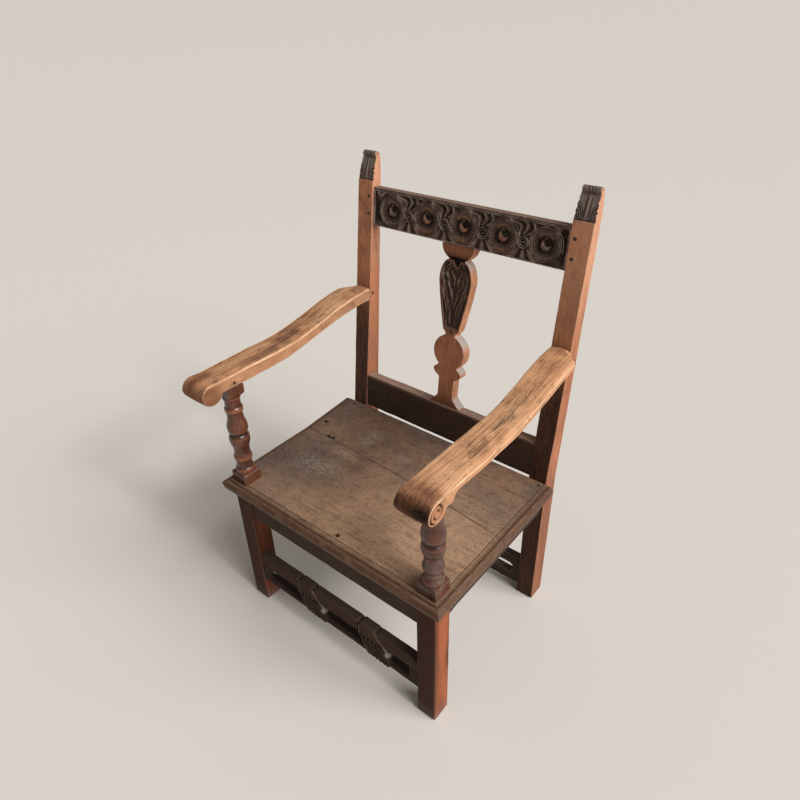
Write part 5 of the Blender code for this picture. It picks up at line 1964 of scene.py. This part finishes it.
@dataclass
class Stretcher:
    """The front stretcher with its gouged channels and two leaning leaf knots."""

    places: Places
    section: Section = Section((6, 6, 96, 6), 5)
    bottom: float = 0.078
    height: float = 0.085
    thickness: float = 0.025
    inset: float = 0.002
    easing: float = 0.0034
    deep: float = 0.0088
    end: float = 0.034
    end_margin: float = 0.012
    channel_low: float = 0.013
    channel_high: float = 0.053
    channel_slope: float = 0.01
    start_spot: Pair = (0.004, 0.009)  # painted highlight where the channel starts: its rise over the channel's middle, and its reach
    band_start: Pair = (-0.001, 0.005)  # from the channel's top
    band_middle: float = 0.07
    band_half: float = 0.016
    band_fall: float = 0.0014
    knots: Pair = (-0.092, 0.105)
    left_line: tuple[Pair, ...] = ((0.000, 0.002), (0.014, -0.01), (0.044, -0.028), (0.085, -0.024))
    right_line: tuple[Pair, ...] = (
        (0.000, 0.064),
        (0.03, 0.06),
        (0.041, 0.055),
        (0.06, 0.04),
        (0.085, 0.022),
    )
    knot_proud: float = 0.0024
    knot_foot: float = 0.004
    knot_top: float = 0.0011
    knot_dip: float = 0.0042
    left_dip: Pair = (-0.001, 0.0065)
    right_dip: Pair = (-0.002, 0.0075)
    # The wall, its tip and the shoulder are painted pale: a highlight of the light from +X on faces that turn
    # to it.
    wall: Pair = (-0.003, 0.0034)
    wall_foot: float = 0.036
    tip: float = 0.0105
    tip_shift: float = 0.0015
    shoulder: Pair = (0.002, 0.003)
    vein_pitch: float = 0.0115
    vein_bend: float = 0.1
    vein_run: Four = (0.001, 0.004, 0.052, 0.06)
    rim: float = 0.0032
    rim_ridge: Pair = (0.0045, 0.0022)
    seam: float = 0.003
    chisel: float = 0.0008
    worn: float = 0.0005
    columns: int = 640

    @property
    def channel(self) -> Pair:
        """The channel's middle height and half its width."""
        return (self.channel_low + self.channel_high) / 2, (self.channel_high - self.channel_low) / 2

    def border(self, line: tuple[Pair, ...], v: Array) -> Array:
        """How far from its middle a knot's border is at these heights."""
        heights, places = zip(*line)
        return np.interp(v, heights, places)

    def leaf_knot(self, run: Array, v: Array) -> Marks:
        """The carving of one knot.

        Args:
            run: Places across, from the knot's middle.
            v: Places up the stretcher, from its bottom.

        Returns:
            How far each place is inside the knot's border, on the knot, on a wall painted pale as a
            highlight, in a cut, on a ridge, and in a dip of the top edge.
        """
        middle, half = self.channel
        top = self.channel_high
        to_left = run - self.border(self.left_line, v)
        to_right = self.border(self.right_line, v) - run
        inside = np.minimum(to_left, to_right)
        wall = hump(to_right, *self.wall) * ease(v, self.wall_foot - 0.004, self.wall_foot + 0.006)
        tip_x = self.border(self.right_line, self.wall_foot) + self.tip_shift
        tip = hump(np.hypot(run - tip_x, v - self.wall_foot), 0.0, self.tip)
        shoulder = hump(to_left, *self.shoulder) * ease(v, top, top + 0.012)
        bend = self.vein_bend * (v - middle) ** 2 / half
        vein = 0.5 + 0.5 * np.cos(FULL_TURN * (to_left - bend) / self.vein_pitch)
        start, full, wane, end = self.vein_run
        leaf = fade(v, top - 0.004, top + 0.004) * ease(inside, start, full) * fade(to_left, wane, end)
        seam = hump(v, top, self.seam) * ease(inside, 0.0, 0.004)
        rim = hump(to_left, 0.0, self.rim)
        return {
            "inside": inside,
            "knot": ease(inside, -0.001, 0.002),
            # Painted highlight on the faces that turn to the light from +X.
            "pale": most(wall, 1.2 * tip, 0.45 * shoulder),
            "cut": most(0.6 * leaf * (1 - vein**1.5), 0.6 * rim, 0.35 * seam),
            "ridge": most(0.4 * leaf * vein**3, 0.9 * hump(to_left, *self.rim_ridge)),
            "dip": most(hump(to_left, *self.left_dip), 0.6 * hump(to_right, *self.right_dip)),
        }

    def carve(self, x: Array, v: Array) -> Marks:
        """The carved face.

        Args:
            x: Places across the stretcher.
            v: Places up it, from its bottom.

        Returns:
            How deep the face is cut, and how far each place is on a knot, on a painted highlight, on a
            leaf's ridge, in a dip of the top edge and on the rounded upper band.
        """
        middle, half = self.channel
        layers = [self.leaf_knot(x - centre, v) for centre in self.knots]
        carved = {word: most(*(layer[word] for layer in layers)) for word in layers[0]}
        start_rise, start_reach = self.start_spot
        start = np.hypot(x + self.places.leg_inner - self.end, v - middle - start_rise)
        carved["pale"] = unit(most(carved["pale"], hump(start, 0.0, start_reach)))
        to_end = self.places.leg_inner - self.end + self.end_margin - np.abs(x)
        room = np.minimum(-carved.pop("inside"), to_end)
        gouge = np.sqrt(unit(1 - ((v - middle) / half) ** 2)) * ease(room, -0.0005, 0.01)
        slope = 0.22 * hump(v, middle, half + self.channel_slope) * ease(room, 0.0, 0.006)
        carved["cut"] = most(carved["cut"], gouge, slope)
        carved["band"] = ease(v - self.channel_high, *self.band_start)
        carved["dip"] = carved["dip"] * carved["band"]
        return carved

    def build(self) -> Piece:
        """Builds the stretcher.

        Returns:
            The new piece.
        """
        half = self.places.leg_inner - CLEARANCE
        section = self.section
        x = np.linspace(-half, half, self.columns)[:, None]
        face_y = self.places.front_y + self.inset
        y, v = section.place((face_y, face_y + self.thickness), (0.0, self.height), self.easing)
        x, y, v, rise = np.broadcast_arrays(x, y, v, section.rim.rise)
        face = section.face(Way.NEAR_FIRST, 3)
        carved = self.carve(x, v)
        knot = carved["knot"]
        flat = np.stack((x, y, v), axis=-1)
        chisel = self.chisel * (mottle(flat, 0.006, 81) - 0.5)
        round_band = self.band_fall * unit(((v - self.band_middle) / self.band_half) ** 2) * carved["band"]
        proud = round_band * (1 - knot) - self.knot_proud * knot + chisel
        y = y + face * (self.deep * carved["cut"] + proud)
        top_edge = self.knot_top * knot - self.knot_dip * carved["dip"]
        v = v - self.knot_foot * knot * ease(-rise, -0.2, 1.0) + top_edge * ease(rise, 0.2, 1.0)
        points = stirred(np.stack((x, y, self.bottom + v), axis=-1), self.worn, 0.03, 83)
        fine = mottle(points, 0.012, 87)
        top = section.facing(Way.FAR_SECOND)
        sunk = ease(carved["cut"], 0.3, 0.8)
        warm = (0.2 * carved["band"] + 0.06) * (1 - sunk)
        marks = {
            "dark": 1.0,
            "warm": unit(face * warm * (0.3 + 0.9 * fine) + 0.06 * top),
            "wear": unit(face * 0.65 * carved["ridge"] * (0.3 + fine) + 0.1 * top),
            "hollow": unit(face * np.maximum(sunk, 0.35) * (1 - carved["pale"])),
            # Painted reflection: the highlights are laid on with the dust colour.
            "dust": unit(face * 0.7 * carved["pale"] * (0.5 + 0.6 * fine)),
        }
        return rolled("carved_stretcher", points, marks)


@dataclass
class PlainRails:
    """The rails without carving: under the seat, below the splat and between the rear legs."""

    places: Places
    section: Section = Section((12, 8, 12, 8))
    easing: float = 0.0017
    rows: int = 90
    worn: float = 0.0005
    lower_depth: Pair = (0.001, 0.028)
    lower_height: Pair = (0.0035, 0.0935)
    rubbed_and_lit: Pair = (0.09, 0.0932)
    slot_height: float = 0.0335
    slot_margin: float = 0.019
    slot_corners: int = 48

    def bar(self, name: str, low: Trio, high: Trio, grain: Grain) -> Piece:
        """A worn square bar along the grain.

        Args:
            name: The piece's name.
            low: Its lowest corner.
            high: Its highest corner.
            grain: The way it runs, across or deep.

        Returns:
            The new piece.
        """
        section = self.section
        edge = section.rim.edge
        along = grain.value
        other = 1 - along
        run = np.linspace(low[along], high[along], self.rows)[:, None]
        first, second = section.place((low[other], high[other]), (low[2], high[2]), self.easing)
        columns = [run, run, second]
        columns[other] = first
        points = np.stack(np.broadcast_arrays(*columns), axis=-1)
        points = stirred(points, self.worn, 0.03, len(name))
        fine = mottle(points, 0.012, 91)
        upper = section.facing(Way.FAR_SECOND)
        marks = {
            "dark": 0.95,
            "warm": 0.3 * edge + 0.16 * fine,
            "hollow": 0.12 * (1 - upper) * fine,
            "wear": unit(edge * (0.15 + 0.4 * fine) + 0.2 * upper * fine),
            "dust": 0.06 * upper,
        }
        return rolled(name, points, marks)

    def lower_rail(self) -> Piece:
        """The rail below the splat, leaning with the back, its top edge rubbed pale.

        Returns:
            The new piece.
        """
        inner = self.places.post_inner - CLEARANCE
        low, high = zip((-inner, inner), self.lower_depth, self.lower_height)
        made = self.bar("lower_rail", low, high, Grain.ACROSS)
        flat = points_of(made)
        move_points(made, self.places.lean(*flat.T))
        top = ease(flat[:, 2], *self.rubbed_and_lit)
        values = np.empty(len(flat), dtype=np.float32)
        for word, share in (("warm", 1.0), ("wear", 0.45)):
            layer = made.data.attributes[word].data
            layer.foreach_get("value", values)
            layer.foreach_set("value", np.maximum(values, share * top).astype(np.float32))
        return made

    def rear_stretcher(self) -> Piece:
        """The board between the rear legs with its long slot.

        Returns:
            The new piece.
        """
        low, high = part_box("rear_stretcher")
        inner = self.places.post_inner - CLEARANCE
        made = self.bar("slotted_stretcher", (-inner, low.y, low.z), (inner, high.y, high.z), Grain.ACROSS)
        half = self.slot_height / 2
        reach = self.places.post_inner - self.slot_margin - half
        bpy.ops.object.select_all(action="DESELECT")
        bpy.ops.mesh.primitive_cylinder_add(
            vertices=self.slot_corners,
            radius=half,
            depth=FAR,
            location=(0, (low.y + high.y) / 2, (low.z + high.z) / 2),
            rotation=(math.pi / 2, 0, 0),
        )
        cutter = bpy.context.object
        bpy.ops.object.transform_apply(location=True, rotation=True, scale=True)
        for vertex in cutter.data.vertices:
            vertex.co.x += reach if vertex.co.x > 0 else -reach
        select_only(made)
        step = made.modifiers.new("slot", "BOOLEAN")
        step.operation = "DIFFERENCE"
        step.solver = "EXACT"
        step.object = cutter
        bpy.ops.object.modifier_apply(modifier=step.name)
        bpy.data.objects.remove(cutter, do_unlink=True)
        return made

    def seat_rail(self, word: str) -> Piece:
        """A rail under the seat, between the posts.

        Args:
            word: Which rail: front, left or right.

        Returns:
            The new piece.
        """
        low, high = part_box("seat_rail_" + word)
        name = "under_rail_" + word
        if word == "front":
            inner = self.places.leg_inner - CLEARANCE
            return self.bar(name, (-inner, low.y, low.z), (inner, high.y, high.z), Grain.ACROSS)
        start = self.places.leg_back + CLEARANCE
        end = self.places.back_y - CLEARANCE
        return self.bar(name, (low.x, start, low.z), (high.x, end, high.z), Grain.DEEP)


@dataclass
class Studio:
    """The floor, the light and the camera."""

    eye: Trio = (0.7677, -0.885, 1.3686)
    yaw: float = math.radians(39.888)
    pitch: float = math.radians(33.1)
    roll: float = math.radians(-1.661)
    focal: float = 644.53  # in pixels of an image 800 wide
    image: float = 800.0
    sensor: float = 36.0
    floor_size: float = 900.0
    floor_drop: float = 0.0005
    floor_rough: float = 0.7
    pale: Colour = (0.7, 0.655, 0.605)
    window: Trio = (1.0, 0.1, 0.75)
    window_spread: float = 50.0
    window_light: float = 3.1
    panes: Trio = (1.0, -0.05, 0.7)
    panes_spread: float = 9.0
    panes_light: float = 1.0
    surround: Colour = (1.0, 0.95, 0.89)
    surround_light: float = 0.24

    def camera(self) -> None:
        """Puts the camera where the photograph was taken from."""
        data = bpy.data.cameras.new("camera")
        data.sensor_width = self.sensor
        data.lens = self.focal * self.sensor / self.image
        made = bpy.data.objects.new("camera", data)
        bpy.context.scene.collection.objects.link(made)
        turns = ((self.yaw, "Z"), (math.pi / 2 - self.pitch, "X"), (self.roll, "Z"))
        made.matrix_world = Matrix.Translation(self.eye)
        for angle, axis in turns:
            made.matrix_world = made.matrix_world @ Matrix.Rotation(angle, 4, axis)
        bpy.context.scene.camera = made

    def floor(self) -> None:
        """Lays a plain pale floor."""
        bpy.ops.object.select_all(action="DESELECT")
        bpy.ops.mesh.primitive_plane_add(size=self.floor_size, location=(0, 0, -self.floor_drop))
        made = bpy.context.object
        made.name = "floor"
        graph = Graph("pale_floor")
        graph.surface({"Base Color": self.pale, "Roughness": self.floor_rough})
        made.data.materials.append(graph.material)

    def lamp(self, name: str, way: Trio, spread: float, strength: float) -> None:
        """Adds a soft lamp far off.

        Args:
            name: The lamp's name.
            way: The way from the chair to it.
            spread: How wide it looks from the chair, in degrees.
            strength: Its light on a face that is turned to it.
        """
        data = bpy.data.lights.new(name, "SUN")
        data.angle = math.radians(spread)
        data.energy = strength
        made = bpy.data.objects.new(name, data)
        bpy.context.scene.collection.objects.link(made)
        made.rotation_euler = Vector(way).to_track_quat("Z", "Y").to_euler()

    def light(self) -> None:
        """Sets the soft light from the right, its bright middle and the pale surroundings."""
        self.lamp("window", self.window, self.window_spread, self.window_light)
        self.lamp("panes", self.panes, self.panes_spread, self.panes_light)
        world = bpy.data.worlds.new("surroundings")
        bpy.context.scene.world = world
        world.use_nodes = True
        sky = world.node_tree.nodes["Background"].inputs
        sky["Color"].default_value = (*self.surround, 1.0)
        sky["Strength"].default_value = self.surround_light
        bpy.context.scene.view_settings.view_transform = "Standard"

    def build(self) -> None:
        """Sets up the floor, the light and the camera."""
        self.floor()
        self.light()
        self.camera()


def keep_solids() -> None:
    """Gives the pegs and nails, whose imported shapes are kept, their finishes."""
    peg = PEG.material()
    iron = IRON.material()
    for name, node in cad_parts.items():
        if "peg" in name or "nail" in name:
            node.data.materials.clear()
            node.data.materials.append(iron if "nail" in name else peg)
            log.info("%s: kept, with its own finish", name)


def main() -> None:
    """Builds the chair's pieces in order, then the studio."""
    logging.basicConfig(level=logging.INFO, format="%(message)s")
    places = Places.read()
    brown = BROWN.material()
    honey = HONEY.material()
    carved = CARVED.material()
    turned = TURNED.material()
    seat_wood = SeatFinish().material()
    for side in Side:
        dress(BackPost(side, places).build(), brown, "brown_wood", "back_post_" + side.word)
        dress(Arm(side, places).build(), honey, "honey_wood", "arm_" + side.word)
        dress(FrontPost(side, places).build(), turned, "turned_wood", "front_post_" + side.word)
    dress(CrestRail(places).build(), carved, "dark_wood", "crest_rail")
    dress(Splat(places).build(), brown, "brown_wood", "back_splat")
    seat = Seat(places)
    for plank in Plank:
        dress(seat.board(plank), seat_wood, "seat_wood", "seat_board_" + plank.value)
    dress(Stretcher(places).build(), carved, "dark_wood", "front_stretcher")
    rails = PlainRails(places)
    dress(rails.lower_rail(), carved, "dark_wood", "lower_back_rail")
    dress(rails.rear_stretcher(), carved, "dark_wood", "rear_stretcher")
    for word in ("front", "left", "right"):
        dress(rails.seat_rail(word), carved, "dark_wood", "seat_rail_" + word)
    keep_solids()
    Studio().build()


if __name__ == "__main__":
    main()
